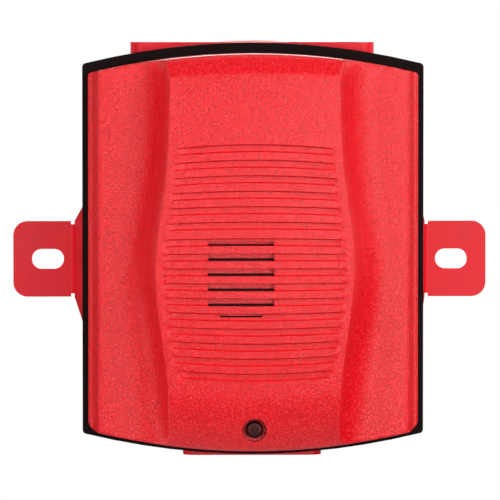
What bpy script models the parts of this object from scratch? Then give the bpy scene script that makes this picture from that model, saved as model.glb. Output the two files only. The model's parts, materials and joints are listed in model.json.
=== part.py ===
"""Wall-mounted fire-alarm horn on a surface back box, as a Blender assembly.

Metres, +Z up. The horn faces -Y and the wall is the plane y = 0.
The origin is on the wall, level with the middle of the horn's housing.
A depth is a distance out from the wall, so a point at depth d has y = -d.
"""

import math

import bmesh
import bpy
from mathutils import Vector

# ---------------------------------------------------------------- driving sizes
GAP = 0.0003  # left between two pieces that rest on each other

BOX_HALF_WIDTH = 0.0588
BOX_TOP, BOX_BOTTOM = 0.0705, -0.0695
BOX_DEPTH = 0.051
BOX_WALL = 0.0025
BOX_CORNER = 0.006
TOP_HUB = (0.088, 0.0749)  # width, and height of its flat top
BOTTOM_HUB = (0.050, -0.0747)
HUB_DEPTHS, HUB_ROOT, HUB_CORNER = (0.006, 0.046), 0.052, 0.0043
CONDUIT_DEPTH = 0.026
CONDUIT_RADIUS = 0.0133
BOX_POST_RADIUS, PLATE_SCREW_HOLE = 0.004, 0.0022
GROUND_X, GROUND_Z, GROUND_PAD_RADIUS, GROUND_PAD_TOP = -0.030, -0.030, 0.006, 0.007
KNOCKOUT_RADII, KNOCKOUT_PLACE = (0.0105, 0.0112), 0.024

GASKET_DEPTHS = (BOX_DEPTH + GAP, BOX_DEPTH + GAP + 0.004)
GASKET_HALF_WIDTH, GASKET_TOP, GASKET_BOTTOM = 0.0614, 0.0748, -0.0735
GASKET_OPENING = (0.0535, 0.0675, -0.0655)  # half width, top, bottom
GASKET_CORNER = 0.0015

BASE_DEPTH = GASKET_DEPTHS[1] + GAP  # rear rim of the housing, rear face of the plate
PLATE_FRONT = BASE_DEPTH + 0.0025
PLATE_HALF_WIDTH, PLATE_HALF_HEIGHT = 0.0555, 0.0682
PLATE_SCREW_X, PLATE_SCREW_Z = 0.047, 0.050

HOUSING_HALF_WIDTH, HOUSING_HALF_HEIGHT = 0.0593, 0.0711
HOUSING_DEPTH = 0.033
HOUSING_WALL = 0.0022
BOW_RADIUS = 0.246  # of the housing's top and bottom edges
EDGE_ROUNDING = 0.002
LIP_DEPTH = 0.0024

PANEL_HALF_WIDTH, PANEL_BULGE = 0.0303, 0.0052
BULGE_Z, BULGE_REACH = -0.0065, 0.031
PANEL_CROWN_Z, PANEL_CROWN_RADIUS, PANEL_CROSS_RADIUS = 0.015, 0.5, 0.3
TOP_CREASE_Z, TOP_SLOPE = 0.0649, 0.84
ROLL_START_Z, ROLL_RADIUS = -0.050, 0.036
WALL_SLOPE = 0.30  # sideways run of the panel's side walls for each unit of depth
WING_DEPTH, WING_CROWN, WING_SHOULDER = 0.0133, 0.0485, 0.0553
WING_FALL = 0.0005  # from where a wing starts to crown to its shoulder
VALLEY_RADIUS = 0.0125  # of the hollow curve from a side wall to its wing

GROOVE_HEIGHT, GROOVE_DEPTH = 0.0029, 0.0012
UPPER_GROOVES, UPPER_PITCH, GROOVE_TOP_Z = 6, 0.00548, 0.0394
LOWER_GROOVES, LOWER_PITCH, LOWER_TOP_Z = 10, 0.00537, 0.0061
GROOVE_COUNT = UPPER_GROOVES + LOWER_GROOVES
GROOVE_INSET, GROOVE_RAMP = 0.0024, 0.004
GROOVE_BOW = 0.0015
FLAT_GROOVE_Z = -0.006

SLOT_X, SLOT_HALF_WIDTH, LAST_SLOT_HALF_WIDTH = -0.0049, 0.01175, 0.00745
FIRST_SLOT, LAST_SLOT = 6, 11  # which grooves, counted from 0

TAB_CENTRE_Z, TAB_HEIGHT, TAB_END_X = -0.0058, 0.028, 0.0873
LEG_HEIGHT = 0.047
SHEET = 0.002
TAB_CORNER = 0.0053
TAB_SLOT_X, TAB_SLOT_LENGTH, TAB_SLOT_WIDTH = 0.0745, 0.0118, 0.0073
LEG_FRONT_X, LEG_REAR_X = BOX_HALF_WIDTH + GAP, 0.0628
LEG_DEPTHS = (0.0415, 0.0505)  # where the leg lies flat on the box
RIVET_Z = 0.013  # above and below the tab's centre
RIVET_X = 0.050  # where the rivets' holes start, inside the box's side wall
RIVET_HOLE = 0.0019

HINGE_DEPTH, HINGE_Z = BASE_DEPTH, 0.0713
HOOK_X, HOOK_WIDTH = 0.024, 0.008
HOOK_RADII = (0.0075, 0.0095)
HOOK_LIP_RADIUS = 0.0116
HOOK_ANGLES = (-31, 42)  # from straight below the hinge axis, towards the front
HOOK_LIP_ANGLE = -26

CAPTIVE_Z = -0.0629
CAPTIVE_HEAD_RADIUS, CAPTIVE_SHANK_RADIUS = 0.00305, 0.00175
CAPTIVE_HEAD_DEPTHS = (0.0747, 0.0775)
CAPTIVE_TIP_DEPTH = 0.0595
CAPTIVE_TRAVEL = 0.005
RECESS_RADIUS, RECESS_FLOOR = 0.0044, (0.0725, 0.0744)
INSERT_DEPTHS = (0.0575, 0.064)
INSERT_BOSS_RADIUS, INSERT_BORE_RADIUS = 0.0052, 0.0038
SCREW_TUBE_RADIUS = 0.0062

COVER_DEPTHS = (0.0665, 0.0685)
BOARD_DEPTHS = (0.0700, 0.0716)
SEAL_DEPTHS = (COVER_DEPTHS[1] + GAP, 0.0700)
COVER_ENDS = (0.0662, -0.0550)
POSTS = [(-0.025, 0.053), (0.025, 0.053), (-0.024, -0.046), (0.024, -0.046)]
POST_SHOULDER, POST_RADIUS, COVER_SCREW_HOLE = 0.0032, 0.0022, 0.00135

SOUNDER_X, SOUNDER_Z, SOUNDER_RADIUS = SLOT_X, -0.0086, 0.021
CHAMBER_DEPTHS = (0.0726, 0.0803)
RIB_RADII, RIB_DEPTH = (0.0186, 0.0206), 0.0820
BAFFLE_DEPTHS = (0.0826, 0.0838)

BLOCK_DEPTHS = (PLATE_FRONT + GAP, 0.0655)
BLOCK_SPAN_X, BLOCK_SPAN_Z = (-0.0245, 0.0245), (-0.023, -0.004)
LUG_X, LUG_Z, LUG_RADIUS = 0.0218, -0.0135, 0.0013  # pegs that hold the terminal block
TERMINAL_XS = [(i - 1.5) * 0.0105 for i in range(4)]
TERMINAL_SCREW_Z, PIN_Z = -0.0165, -0.0085
WIRE_DEPTH, WIRE_END_Z = 0.0622, -0.025
BEYOND = 0.1  # past everything in front, where cutting tools end

SELECTOR_X, SELECTOR_Z, SELECTOR_REAR = 0.017, 0.026, 0.0668

# ---------------------------------------------------------------- materials
COLOURS = {
    "red_plastic": ((0.74, 0.03, 0.04), 0.42, 0.0),
    "red_paint": ((0.62, 0.03, 0.045), 0.35, 0.2),
    "black_rubber": ((0.012, 0.011, 0.011), 0.75, 0.0),
    "black_plastic": ((0.02, 0.02, 0.022), 0.5, 0.0),
    "grey_plastic": ((0.55, 0.55, 0.53), 0.5, 0.0),
    "zinc_steel": ((0.6, 0.6, 0.58), 0.3, 1.0),
    "brass": ((0.72, 0.52, 0.22), 0.3, 1.0),
    "copper": ((0.6, 0.26, 0.12), 0.35, 1.0),
    "green_paint": ((0.02, 0.3, 0.08), 0.45, 0.0),
    "board_green": ((0.02, 0.16, 0.07), 0.5, 0.0),
    "white_ceramic": ((0.82, 0.8, 0.74), 0.5, 0.0),
    "ferrite": ((0.05, 0.05, 0.055), 0.6, 0.0),
    "blue_sleeve": ((0.03, 0.07, 0.3), 0.35, 0.0),
    "black_membrane": ((0.02, 0.02, 0.02), 0.9, 0.0),
}

for old in list(bpy.data.objects):
    bpy.data.objects.remove(old)


def new_collection(name):
    collection = bpy.data.collections.new(name)
    bpy.context.scene.collection.children.link(collection)
    return collection


PARTS = new_collection("wall_horn")
CUTTERS = new_collection("cutters")
MATERIALS = {}
for material_name, (colour, roughness, metallic) in COLOURS.items():
    new = bpy.data.materials.new(material_name)
    new.use_nodes = True
    shader = new.node_tree.nodes["Principled BSDF"]
    shader.inputs["Base Color"].default_value = (*colour, 1.0)
    shader.inputs["Roughness"].default_value = roughness
    shader.inputs["Metallic"].default_value = metallic
    MATERIALS[material_name] = new


# ---------------------------------------------------------------- shape helpers
FRONT, REAR = Vector((0, -1, 0)), Vector((0, 1, 0))
UP = Vector((0, 0, 1))


def at(x, depth, z):
    return Vector((x, -depth, z))


def add_mesh(name, bm, material):
    """A piece of the object, or a tool if it has no material."""
    mesh = bpy.data.meshes.new(name)
    bm.to_mesh(mesh)
    bm.free()
    obj = bpy.data.objects.new(name, mesh)
    PARTS.objects.link(obj)
    if material:
        mesh.materials.append(MATERIALS[material])
    mesh.shade_smooth()
    mesh.set_sharp_from_angle(angle=math.radians(35))
    return obj


def add_bevel(obj, width, segments=1):
    bevel = obj.modifiers.new("bevel", "BEVEL")
    bevel.width = width
    bevel.segments = segments
    bevel.limit_method = "ANGLE"
    return obj


def block(name, xs, depths, zs, material=None, bevel=0.0):
    """A box between two places along x, two depths and two heights."""
    bm = bmesh.new()
    bmesh.ops.create_cube(bm, size=1.0)
    spans = [abs(b - a) for a, b in (xs, depths, zs)]
    bmesh.ops.scale(bm, vec=spans, verts=bm.verts)
    obj = add_mesh(name, bm, material)
    obj.location = at(sum(xs) / 2, sum(depths) / 2, sum(zs) / 2)
    return add_bevel(obj, bevel) if bevel else obj


def rod(name, radius, start, end, material=None, sides=20, bevel=0.0):
    """A cylinder from one point to another."""
    bm = bmesh.new()
    bmesh.ops.create_cone(bm, cap_ends=True, segments=sides, radius1=radius, radius2=radius,
                          depth=(end - start).length)
    obj = add_mesh(name, bm, material)
    obj.location = (start + end) / 2
    obj.rotation_euler = UP.rotation_difference(end - start).to_euler()
    return add_bevel(obj, bevel) if bevel else obj


def peg(name, radius, depths, x, z, material=None, sides=16, bevel=0.0):
    """A cylinder that points out from the wall, between two depths."""
    return rod(name, radius, at(x, depths[0], z), at(x, depths[1], z), material, sides, bevel)


def turned(name, profile, base, facing, material=None, steps=20, closed=False):
    """A profile of (radius, height) points, top to bottom, turned about the line from base to facing."""
    bm = bmesh.new()
    points = [bm.verts.new((radius, 0, height)) for radius, height in profile]
    for a, b in zip(points, points[1:]):
        bm.edges.new((a, b))
    if closed:
        bm.edges.new((points[-1], points[0]))
    obj = add_mesh(name, bm, material)
    screw = obj.modifiers.new("turn", "SCREW")
    screw.steps = screw.render_steps = steps
    screw.use_merge_vertices = True
    screw.merge_threshold = 0.00001
    obj.location = base
    obj.rotation_euler = UP.rotation_difference(facing).to_euler()
    return obj


def ring(name, radii, depths, x, z, material=None, steps=24):
    """A flat ring that lies parallel to the wall."""
    inner, outer = radii
    height = depths[1] - depths[0]
    profile = [(outer, height), (outer, 0), (inner, 0), (inner, height)]
    return turned(name, profile, at(x, depths[0], z), FRONT, material, steps, closed=True)


def mesh_from_curve(curve, name, location, rotation, material):
    """The curve as a mesh with its caps welded on, ready to be cut."""
    guide = bpy.data.objects.new(name + "_curve", curve)
    PARTS.objects.link(guide)
    guide.location = location
    guide.rotation_euler = rotation
    bpy.context.view_layer.update()
    graph = bpy.context.evaluated_depsgraph_get()
    mesh = bpy.data.meshes.new_from_object(guide.evaluated_get(graph))
    place = guide.matrix_world.copy()
    bpy.data.objects.remove(guide)
    bm = bmesh.new()
    bm.from_mesh(mesh)
    bmesh.ops.remove_doubles(bm, verts=bm.verts, dist=0.000002)
    obj = add_mesh(name, bm, material)
    obj.matrix_world = place
    return obj


def flat(name, outlines, depths, material=None):
    """A flat piece parallel to the wall: closed (x, z) outlines, the inner ones being holes."""
    curve = bpy.data.curves.new(name, "CURVE")
    curve.dimensions = "2D"
    curve.fill_mode = "BOTH"
    curve.extrude = abs(depths[1] - depths[0]) / 2
    for outline in outlines:
        spline = curve.splines.new("POLY")
        spline.points.add(len(outline) - 1)
        for point, (x, z) in zip(spline.points, outline):
            point.co = (x, z, 0, 1)
        spline.use_cyclic_u = True
    return mesh_from_curve(curve, name, at(0, sum(depths) / 2, 0), (math.pi / 2, 0, 0), material)


def upright(name, outline, zs, material=None):
    """Its closed (x, depth) outline, extruded from one height to another."""
    bm = bmesh.new()
    base = bm.faces.new([bm.verts.new(at(x, depth, zs[0])) for x, depth in outline])
    extruded = bmesh.ops.extrude_face_region(bm, geom=[base], use_keep_orig=True)
    raised = [item for item in extruded["geom"] if isinstance(item, bmesh.types.BMVert)]
    bmesh.ops.translate(bm, vec=(0, 0, zs[1] - zs[0]), verts=raised)
    bmesh.ops.recalc_face_normals(bm, faces=bm.faces)
    return add_mesh(name, bm, material)


def side_flat(name, outline, xs, material=None):
    """A flat piece square to x, from its closed (depth, z) outline."""
    curve = bpy.data.curves.new(name, "CURVE")
    curve.dimensions = "2D"
    curve.fill_mode = "BOTH"
    curve.extrude = abs(xs[1] - xs[0]) / 2
    spline = curve.splines.new("POLY")
    spline.points.add(len(outline) - 1)
    for point, (depth, z) in zip(spline.points, outline):
        point.co = (-depth, z, 0, 1)
    spline.use_cyclic_u = True
    turn = (math.pi / 2, 0, math.pi / 2)
    return mesh_from_curve(curve, name, Vector((sum(xs) / 2, 0, 0)), turn, material)


def wire(name, points, radius, material):
    curve = bpy.data.curves.new(name, "CURVE")
    curve.dimensions = "3D"
    curve.bevel_depth = radius
    curve.bevel_resolution = 1
    curve.use_fill_caps = True
    spline = curve.splines.new("POLY")
    spline.points.add(len(points) - 1)
    for point, place in zip(spline.points, points):
        point.co = (*place, 1)
    return mesh_from_curve(curve, name, Vector(), (0, 0, 0), material)


def boolean(target, operation, tools):
    for tool in tools:
        modifier = target.modifiers.new(tool.name, "BOOLEAN")
        modifier.operation = operation
        modifier.solver = "EXACT"
        modifier.object = tool
        PARTS.objects.unlink(tool)
        CUTTERS.objects.link(tool)
        tool.hide_render = True
        tool.display_type = "WIRE"
    return target


def cut(target, *tools):
    return boolean(target, "DIFFERENCE", tools)


def join(target, *tools):
    return boolean(target, "UNION", tools)


def keep_inside(target, *tools):
    return boolean(target, "INTERSECT", tools)


def arc(x, z, radius, start, end, steps):
    """Points along a circle, between two angles in degrees."""
    angles = [math.radians(start + (end - start) * i / steps) for i in range(steps + 1)]
    return [(x + radius * math.cos(a), z + radius * math.sin(a)) for a in angles]


def rounded_rectangle(xs, zs, radius, steps=4):
    (left, right), (low, high) = xs, zs
    corners = [(right - radius, high - radius, 0), (left + radius, high - radius, 90),
               (left + radius, low + radius, 180), (right - radius, low + radius, 270)]
    return [p for x, z, a in corners for p in arc(x, z, radius, a, a + 90, steps)]


def bowed_outline(half_width, top, bottom, corner, steps=8):
    """Straight sides, and top and bottom edges that bow outwards like the housing's."""
    inner = half_width - corner
    places = [inner - 2 * inner * i / steps for i in range(steps + 1)]
    drop = inner * inner / (2 * BOW_RADIUS)
    edge = [(x, top - x * x / (2 * BOW_RADIUS)) for x in places]
    edge = arc(inner, top - drop - corner, corner, 0, 80, 3) + edge
    edge += arc(-inner, top - drop - corner, corner, 100, 180, 3)
    back = [(-x, bottom + x * x / (2 * BOW_RADIUS)) for x in places]
    back = arc(-inner, bottom + drop + corner, corner, 180, 260, 3) + back
    return edge + back + arc(inner, bottom + drop + corner, corner, 280, 360, 3)


# ---------------------------------------------------------------- the housing's surface
def soft_min(a, b, blend):
    overlap = max(blend - abs(a - b), 0.0) / blend
    return min(a, b) - overlap * overlap * blend / 4


def half_height(x, inset=0.0):
    """Half of the housing's height at x, where its corners are rounded too."""
    corner_start = HOUSING_HALF_WIDTH - inset - EDGE_ROUNDING
    over = min(max(0.0, abs(x) - corner_start), EDGE_ROUNDING)
    corner = EDGE_ROUNDING - math.sqrt(EDGE_ROUNDING**2 - over**2)
    return HOUSING_HALF_HEIGHT - inset - x * x / (2 * BOW_RADIUS) - corner


def panel_half_width(z):
    return PANEL_HALF_WIDTH + PANEL_BULGE * math.exp(-(((z - BULGE_Z) / BULGE_REACH) ** 2))


def crown(z):
    return HOUSING_DEPTH - (z - PANEL_CROWN_Z) ** 2 / (2 * PANEL_CROWN_RADIUS)


def spine(z):
    """Depth of the raised panel along its middle, without the slope at its top."""
    if z >= ROLL_START_Z:
        return crown(z)
    lean = (PANEL_CROWN_Z - ROLL_START_Z) / PANEL_CROWN_RADIUS
    lean_here = min(0.95, lean + (ROLL_START_Z - z) / ROLL_RADIUS)
    fall = math.sqrt(1 - lean**2) - math.sqrt(1 - lean_here**2)
    return crown(ROLL_START_Z) - ROLL_RADIUS * fall


def panel_depth(x, z):
    """The raised panel: nearly flat, with a slope at its top and a roll at its foot."""
    top_slope = crown(TOP_CREASE_Z) - TOP_SLOPE * (z - TOP_CREASE_Z)
    return soft_min(spine(z), top_slope, 0.0006) - x * x / (2 * PANEL_CROSS_RADIUS)


def wing_depth(x):
    """The side wings: slightly crowned, with a steep fall to the lip at the outer edge."""
    fall_width = 0.0029
    crowned = WING_DEPTH - WING_FALL * max(0.0, (x - WING_CROWN) / (WING_SHOULDER - WING_CROWN)) ** 2
    t = min(max(0.0, (x - WING_SHOULDER) / fall_width), 1.0)
    return crowned - 0.0066 * (0.25 * t + 0.75 * t * t)


def side_depth(x, z, inset):
    """A side wall and its wing, with a round valley between them."""
    w = panel_half_width(z)
    edge_depth = spine(z) - w * w / (2 * PANEL_CROSS_RADIUS)
    wall = edge_depth - (x - w + inset * math.hypot(1, WALL_SLOPE)) / WALL_SLOPE
    wing = wing_depth(x + inset) - inset
    radius = VALLEY_RADIUS + inset
    steepness = math.atan(1 / WALL_SLOPE)
    corner_x = w + (edge_depth - WING_DEPTH) * WALL_SLOPE
    valley_end = corner_x + VALLEY_RADIUS * math.tan(steepness / 2)
    from_end = valley_end - x
    if from_end <= 0:
        return wing
    if from_end < radius * math.sin(steepness):
        return wing + radius - math.sqrt(radius**2 - from_end**2)
    return max(wall, wing)


def surface_depth(x, z, inset=0.0):
    """Depth of the skin in front of the rear rim; an inset gives the inner skin."""
    x = abs(x)
    widest = PANEL_HALF_WIDTH + PANEL_BULGE
    level = z * HOUSING_HALF_HEIGHT / half_height(min(x, widest))
    depth = soft_min(panel_depth(x, level) - inset, side_depth(x, level, inset), 0.0015)
    from_edge = half_height(x) - abs(z)
    if inset == 0 and from_edge < EDGE_ROUNDING:
        into = EDGE_ROUNDING - max(0.0, from_edge)
        depth -= EDGE_ROUNDING - math.sqrt(EDGE_ROUNDING**2 - into**2)
    return max(depth, LIP_DEPTH * (0.2 if inset else 1.0))


def housing_solid(name, inset, material=None):
    """The housing's outer form, or its hollow: rows of points lofted from top to bottom."""
    rear = BASE_DEPTH - (0.001 if inset else 0.0)
    shares = [1.0, 0.95, 0.915, 0.88, 0.74, 0.55, 0.36, 0.18, 0.0]
    shares += [-s for s in shares[-2::-1]]
    if not inset:
        shares = [1.0, 0.993, 0.98] + shares[1:-1] + [-0.98, -0.993, -1.0]
    edge = HOUSING_HALF_WIDTH - inset
    bm = bmesh.new()
    rows = []
    for share in shares:
        w = panel_half_width(share * HOUSING_HALF_HEIGHT) - inset
        at_wall = [w - 0.0006, w + 0.0008, w + 0.0036, w + 0.0064, w + 0.0098, w + 0.0142]
        at_edge = [edge - 0.0040, edge - 0.002, edge - 0.0008, edge]
        places = [0.0, 0.55 * w] + at_wall + at_edge
        row = []
        for x in [-p for p in places[:0:-1]] + places:
            z = share * half_height(x, inset)
            row.append(bm.verts.new(at(x, BASE_DEPTH + surface_depth(x, z, inset), z)))
        rows.append(row)
    for upper, lower in zip(rows, rows[1:]):
        for i in range(len(upper) - 1):
            bm.faces.new((upper[i], lower[i], lower[i + 1], upper[i + 1]))
    right_edge, left_edge = [row[-1] for row in rows[1:]], [row[0] for row in rows[-2:0:-1]]
    border = rows[0] + right_edge + rows[-1][-2::-1] + left_edge
    rim = [bm.verts.new((v.co.x, -rear, v.co.z)) for v in border]
    for i in range(len(border)):
        bm.faces.new((border[i - 1], border[i], rim[i], rim[i - 1]))
    bm.faces.new(rim)
    bmesh.ops.recalc_face_normals(bm, faces=bm.faces)
    return add_mesh(name, bm, material)


def barrel_outline(offset, ends, steps=10):
    """The panel's barrel shape, that much wider on each side, between two heights."""
    top, bottom = ends
    places = [top + (bottom - top) * i / steps for i in range(steps + 1)]
    right = [(panel_half_width(z) + offset, z) for z in places]
    return right + [(-x, z) for x, z in reversed(right)]


def groove_centre(index):
    """The grooves at the sound slots and below them are a little closer together than the upper ones."""
    if index < UPPER_GROOVES:
        return GROOVE_TOP_Z - index * UPPER_PITCH - GROOVE_HEIGHT / 2
    return LOWER_TOP_Z - (index - UPPER_GROOVES) * LOWER_PITCH - GROOVE_HEIGHT / 2


def groove_cutter(index):
    """A bar bowed like its groove, whose floor rises to the surface at both ends."""
    centre = groove_centre(index)
    bow = GROOVE_BOW * (centre - FLAT_GROOVE_Z) / (GROOVE_TOP_Z - FLAT_GROOVE_Z)
    reach = panel_half_width(centre) - GROOVE_INSET
    places = [reach, reach - GROOVE_RAMP, 0.45 * reach, 0.0]
    bm = bmesh.new()
    sections = []
    for x in [-p for p in places] + places[-2::-1]:
        sink = GROOVE_DEPTH * min(1.0, (reach - abs(x)) / GROOVE_RAMP) - 0.00005
        middle = centre - bow * (x / reach) ** 2
        section = []
        for z, outside in ((0.5, 0), (0.5, 1), (-0.5, 1), (-0.5, 0)):
            height = middle + z * GROOVE_HEIGHT
            depth = BASE_DEPTH + panel_depth(x, height) + (0.002 if outside else -sink)
            section.append(bm.verts.new(at(x, depth, height)))
        sections.append(section)
    for a, b in zip(sections, sections[1:]):
        for i in range(4):
            bm.faces.new((a[i - 1], a[i], b[i], b[i - 1]))
    bm.faces.new(sections[0])
    bm.faces.new(sections[-1])
    bmesh.ops.recalc_face_normals(bm, faces=bm.faces)
    return add_mesh(f"cut_groove_{index + 1}", bm, None)


def slot_span(index):
    """Height of the sound slot in that groove: the first and last are only part of theirs."""
    centre, half = groove_centre(index), GROOVE_HEIGHT / 2
    low = centre if index == LAST_SLOT else centre - half
    high = centre + 0.0003 if index == FIRST_SLOT else centre + half
    return low, high


def slot_xs(index):
    half = LAST_SLOT_HALF_WIDTH if index == LAST_SLOT else SLOT_HALF_WIDTH
    return SLOT_X - half, SLOT_X + half


def seal_outlines():
    """Outer and inner edge of the wall, and of the seal on it, round the electronics."""
    top, bottom = COVER_ENDS
    return [barrel_outline(0.0013, (top - 0.0004, bottom + 0.0004)),
            barrel_outline(-0.0005, (top - 0.0022, bottom + 0.0022))]


# ---------------------------------------------------------------- the wall side
def make_back_box():
    outline = bowed_outline(BOX_HALF_WIDTH, BOX_TOP, BOX_BOTTOM, BOX_CORNER)
    box = flat("back_box", [outline], (0, BOX_DEPTH), "red_paint")
    for hub, (width, end) in (("top", TOP_HUB), ("low", BOTTOM_HUB)):
        outline = rounded_rectangle((-width / 2, width / 2), HUB_DEPTHS, HUB_CORNER)
        root = math.copysign(HUB_ROOT, end)
        join(box, upright(f"add_{hub}_hub", outline, sorted((root, end))))
    inner = bowed_outline(BOX_HALF_WIDTH - BOX_WALL, BOX_TOP - BOX_WALL, BOX_BOTTOM + BOX_WALL,
                          BOX_CORNER - BOX_WALL)
    hollow = flat("cut_hollow", [inner], (BOX_WALL, BOX_DEPTH + 0.001))
    for i, (x, z) in enumerate(plate_screw_places()):
        side = math.copysign(1, x)
        rib = block(f"keep_rib_{i + 1}", (x + side * 0.002, side * BOX_HALF_WIDTH), (0, 0.045),
                    (z - 0.0015, z + 0.0015))
        cut(hollow, peg(f"keep_post_{i + 1}", BOX_POST_RADIUS, (0, 0.06), x, z), rib)
    cut(hollow, peg("keep_ground_pad", GROUND_PAD_RADIUS, (0, GROUND_PAD_TOP), GROUND_X, GROUND_Z))
    cut(box, hollow)
    for i, (x, z) in enumerate(plate_screw_places()):
        join(box, peg(f"add_post_tip_{i + 1}", BOX_POST_RADIUS, (BOX_DEPTH - 0.002, BASE_DEPTH - GAP), x, z))
        cut(box, peg(f"cut_post_{i + 1}", PLATE_SCREW_HOLE, (0.040, 0.06), x, z, sides=12))
    for name, low, high in (("top", 0.060, 0.08), ("low", -0.08, -0.060)):
        cut(box, rod(f"cut_{name}_bore", CONDUIT_RADIUS, at(0, CONDUIT_DEPTH, low),
                     at(0, CONDUIT_DEPTH, high), sides=24))
    cut(box, peg("cut_ground_hole", PLATE_SCREW_HOLE, (0.0015, 0.01), GROUND_X, GROUND_Z, sides=12))
    for i, x in enumerate((-KNOCKOUT_PLACE, KNOCKOUT_PLACE)):
        cut(box, ring(f"cut_knockout_{i + 1}", KNOCKOUT_RADII, (-0.001, 0.0012), x, KNOCKOUT_PLACE))
    for side in (-1, 1):
        for z in (RIVET_Z, -RIVET_Z):
            place = at(side * RIVET_X, sum(LEG_DEPTHS) / 2, TAB_CENTRE_Z + z)
            end = place + Vector((side * 0.012, 0, 0))
            cut(box, rod(f"cut_rivet_{side}_{z}", RIVET_HOLE, place, end, sides=12))
    return box


def plate_screw_places():
    return [(sx * PLATE_SCREW_X, sz * PLATE_SCREW_Z) for sz in (1, -1) for sx in (-1, 1)]


def make_bracket(side, name):
    """Sheet-steel angle: a leg riveted to the box that spreads to a slotted tab on the wall."""
    def sx(xs):
        return [side * x for x in xs]

    low_flat, high_flat = LEG_DEPTHS
    outer_front, outer_rear = LEG_FRONT_X + SHEET, LEG_REAR_X + SHEET
    section = [(LEG_FRONT_X, high_flat), (LEG_FRONT_X, low_flat), (LEG_REAR_X, SHEET), (LEG_REAR_X, 0),
               (TAB_END_X, 0), (TAB_END_X, SHEET), (outer_rear, SHEET), (outer_front, low_flat),
               (outer_front, high_flat)]
    half, leg = TAB_HEIGHT / 2, LEG_HEIGHT / 2
    bracket = upright(name, [(side * x, depth) for x, depth in section],
                      (TAB_CENTRE_Z - 0.03, TAB_CENTRE_Z + 0.03), "red_paint")

    end_x = TAB_END_X - TAB_CORNER
    right = arc(end_x, TAB_CENTRE_Z - half + TAB_CORNER, TAB_CORNER, 270, 360, 5)
    right += arc(end_x, TAB_CENTRE_Z + half - TAB_CORNER, TAB_CORNER, 0, 90, 5)
    bend_x = outer_rear + 0.00005  # just outside the bend, so that no two faces of the tools coincide
    front = [(bend_x, TAB_CENTRE_Z - leg), (bend_x, TAB_CENTRE_Z - half)] + right
    front += [(bend_x, TAB_CENTRE_Z + half), (bend_x, TAB_CENTRE_Z + leg)]
    front += [(0.05, TAB_CENTRE_Z + leg), (0.05, TAB_CENTRE_Z - leg)]
    front = [(side * x, z) for x, z in front]
    edge = [(-0.001, half), (0.003, half), (high_flat, leg), (0.06, leg)]
    view = [(depth, TAB_CENTRE_Z - z) for depth, z in edge]
    view += [(depth, TAB_CENTRE_Z + z) for depth, z in reversed(edge)]
    keep_inside(bracket, flat(f"keep_front_{name}", [front], (-0.001, 0.06)),
                side_flat(f"keep_side_{name}", view, sorted(sx((0.05, 0.09)))))
    slot_half = TAB_SLOT_LENGTH / 2
    slot = rounded_rectangle(sorted(sx((TAB_SLOT_X - slot_half, TAB_SLOT_X + slot_half))),
                             (TAB_CENTRE_Z - TAB_SLOT_WIDTH / 2, TAB_CENTRE_Z + TAB_SLOT_WIDTH / 2),
                             TAB_SLOT_WIDTH / 2 - 0.0001, 6)
    cut(bracket, flat(f"cut_slot_{name}", [slot], (-0.001, 0.004)))
    for i, edge in enumerate((-half, half)):
        inward = -math.copysign(0.0014, edge)
        zs = sorted((TAB_CENTRE_Z + edge + inward, TAB_CENTRE_Z + edge - inward))
        relief_xs = sorted(sx((0.0618, outer_rear + 0.0012)))
        cut(bracket, block(f"cut_relief_{name}_{i}", relief_xs, (-0.001, 0.0035), zs))
    for i, z in enumerate((RIVET_Z, -RIVET_Z)):
        place = at(side * RIVET_X, sum(LEG_DEPTHS) / 2, TAB_CENTRE_Z + z)
        outer_face = outer_front - RIVET_X
        profile = [(0, outer_face + 0.001), (0.0034, outer_face + 0.001), (0.0034, outer_face - 0.0002),
                   (RIVET_HOLE, outer_face - 0.0015), (RIVET_HOLE, 0.005), (0, 0.005)]
        cut(bracket, turned(f"cut_rivet_{name}_{i}", profile, place, Vector((side, 0, 0)), steps=16))
    return bracket


def make_rivet(name, side, z):
    """A flush rivet: a countersunk head in the leg and a flat tail inside the box."""
    outer_face = LEG_FRONT_X + SHEET
    inner_face = BOX_HALF_WIDTH - BOX_WALL
    places = [(0, outer_face - 0.0001), (0.0031, outer_face - 0.0001), (0.0031, outer_face - 0.0003),
              (0.0016, outer_face - 0.0016), (0.0016, inner_face - GAP), (0.0028, inner_face - GAP),
              (0.0028, inner_face - GAP - 0.0011), (0, inner_face - GAP - 0.0011)]
    return turned(name, places, at(0, sum(LEG_DEPTHS) / 2, z), Vector((side, 0, 0)), "zinc_steel", steps=12)


def make_conduit_plug():
    """A flush pipe plug with a hexagon socket, in the top conduit entry."""
    top = TOP_HUB[1] - 0.0006
    radius = CONDUIT_RADIUS - GAP
    profile = [(0, top), (radius - 0.001, top), (radius, top - 0.001), (radius, top - 0.0085),
               (radius - 0.001, top - 0.0095), (0, top - 0.0095)]
    plug = turned("conduit_plug", profile, at(0, CONDUIT_DEPTH, 0), UP, "zinc_steel", steps=24)
    floor, above = at(0, CONDUIT_DEPTH, top - 0.006), at(0, CONDUIT_DEPTH, top + 0.001)
    return cut(plug, rod("cut_plug_socket", 0.0055, floor, above, sides=6))


def make_gasket():
    outer = bowed_outline(GASKET_HALF_WIDTH, GASKET_TOP, GASKET_BOTTOM, GASKET_CORNER, steps=12)
    inner = bowed_outline(*GASKET_OPENING, 0.006)
    return flat("box_gasket", [outer, inner], GASKET_DEPTHS, "black_rubber")


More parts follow.
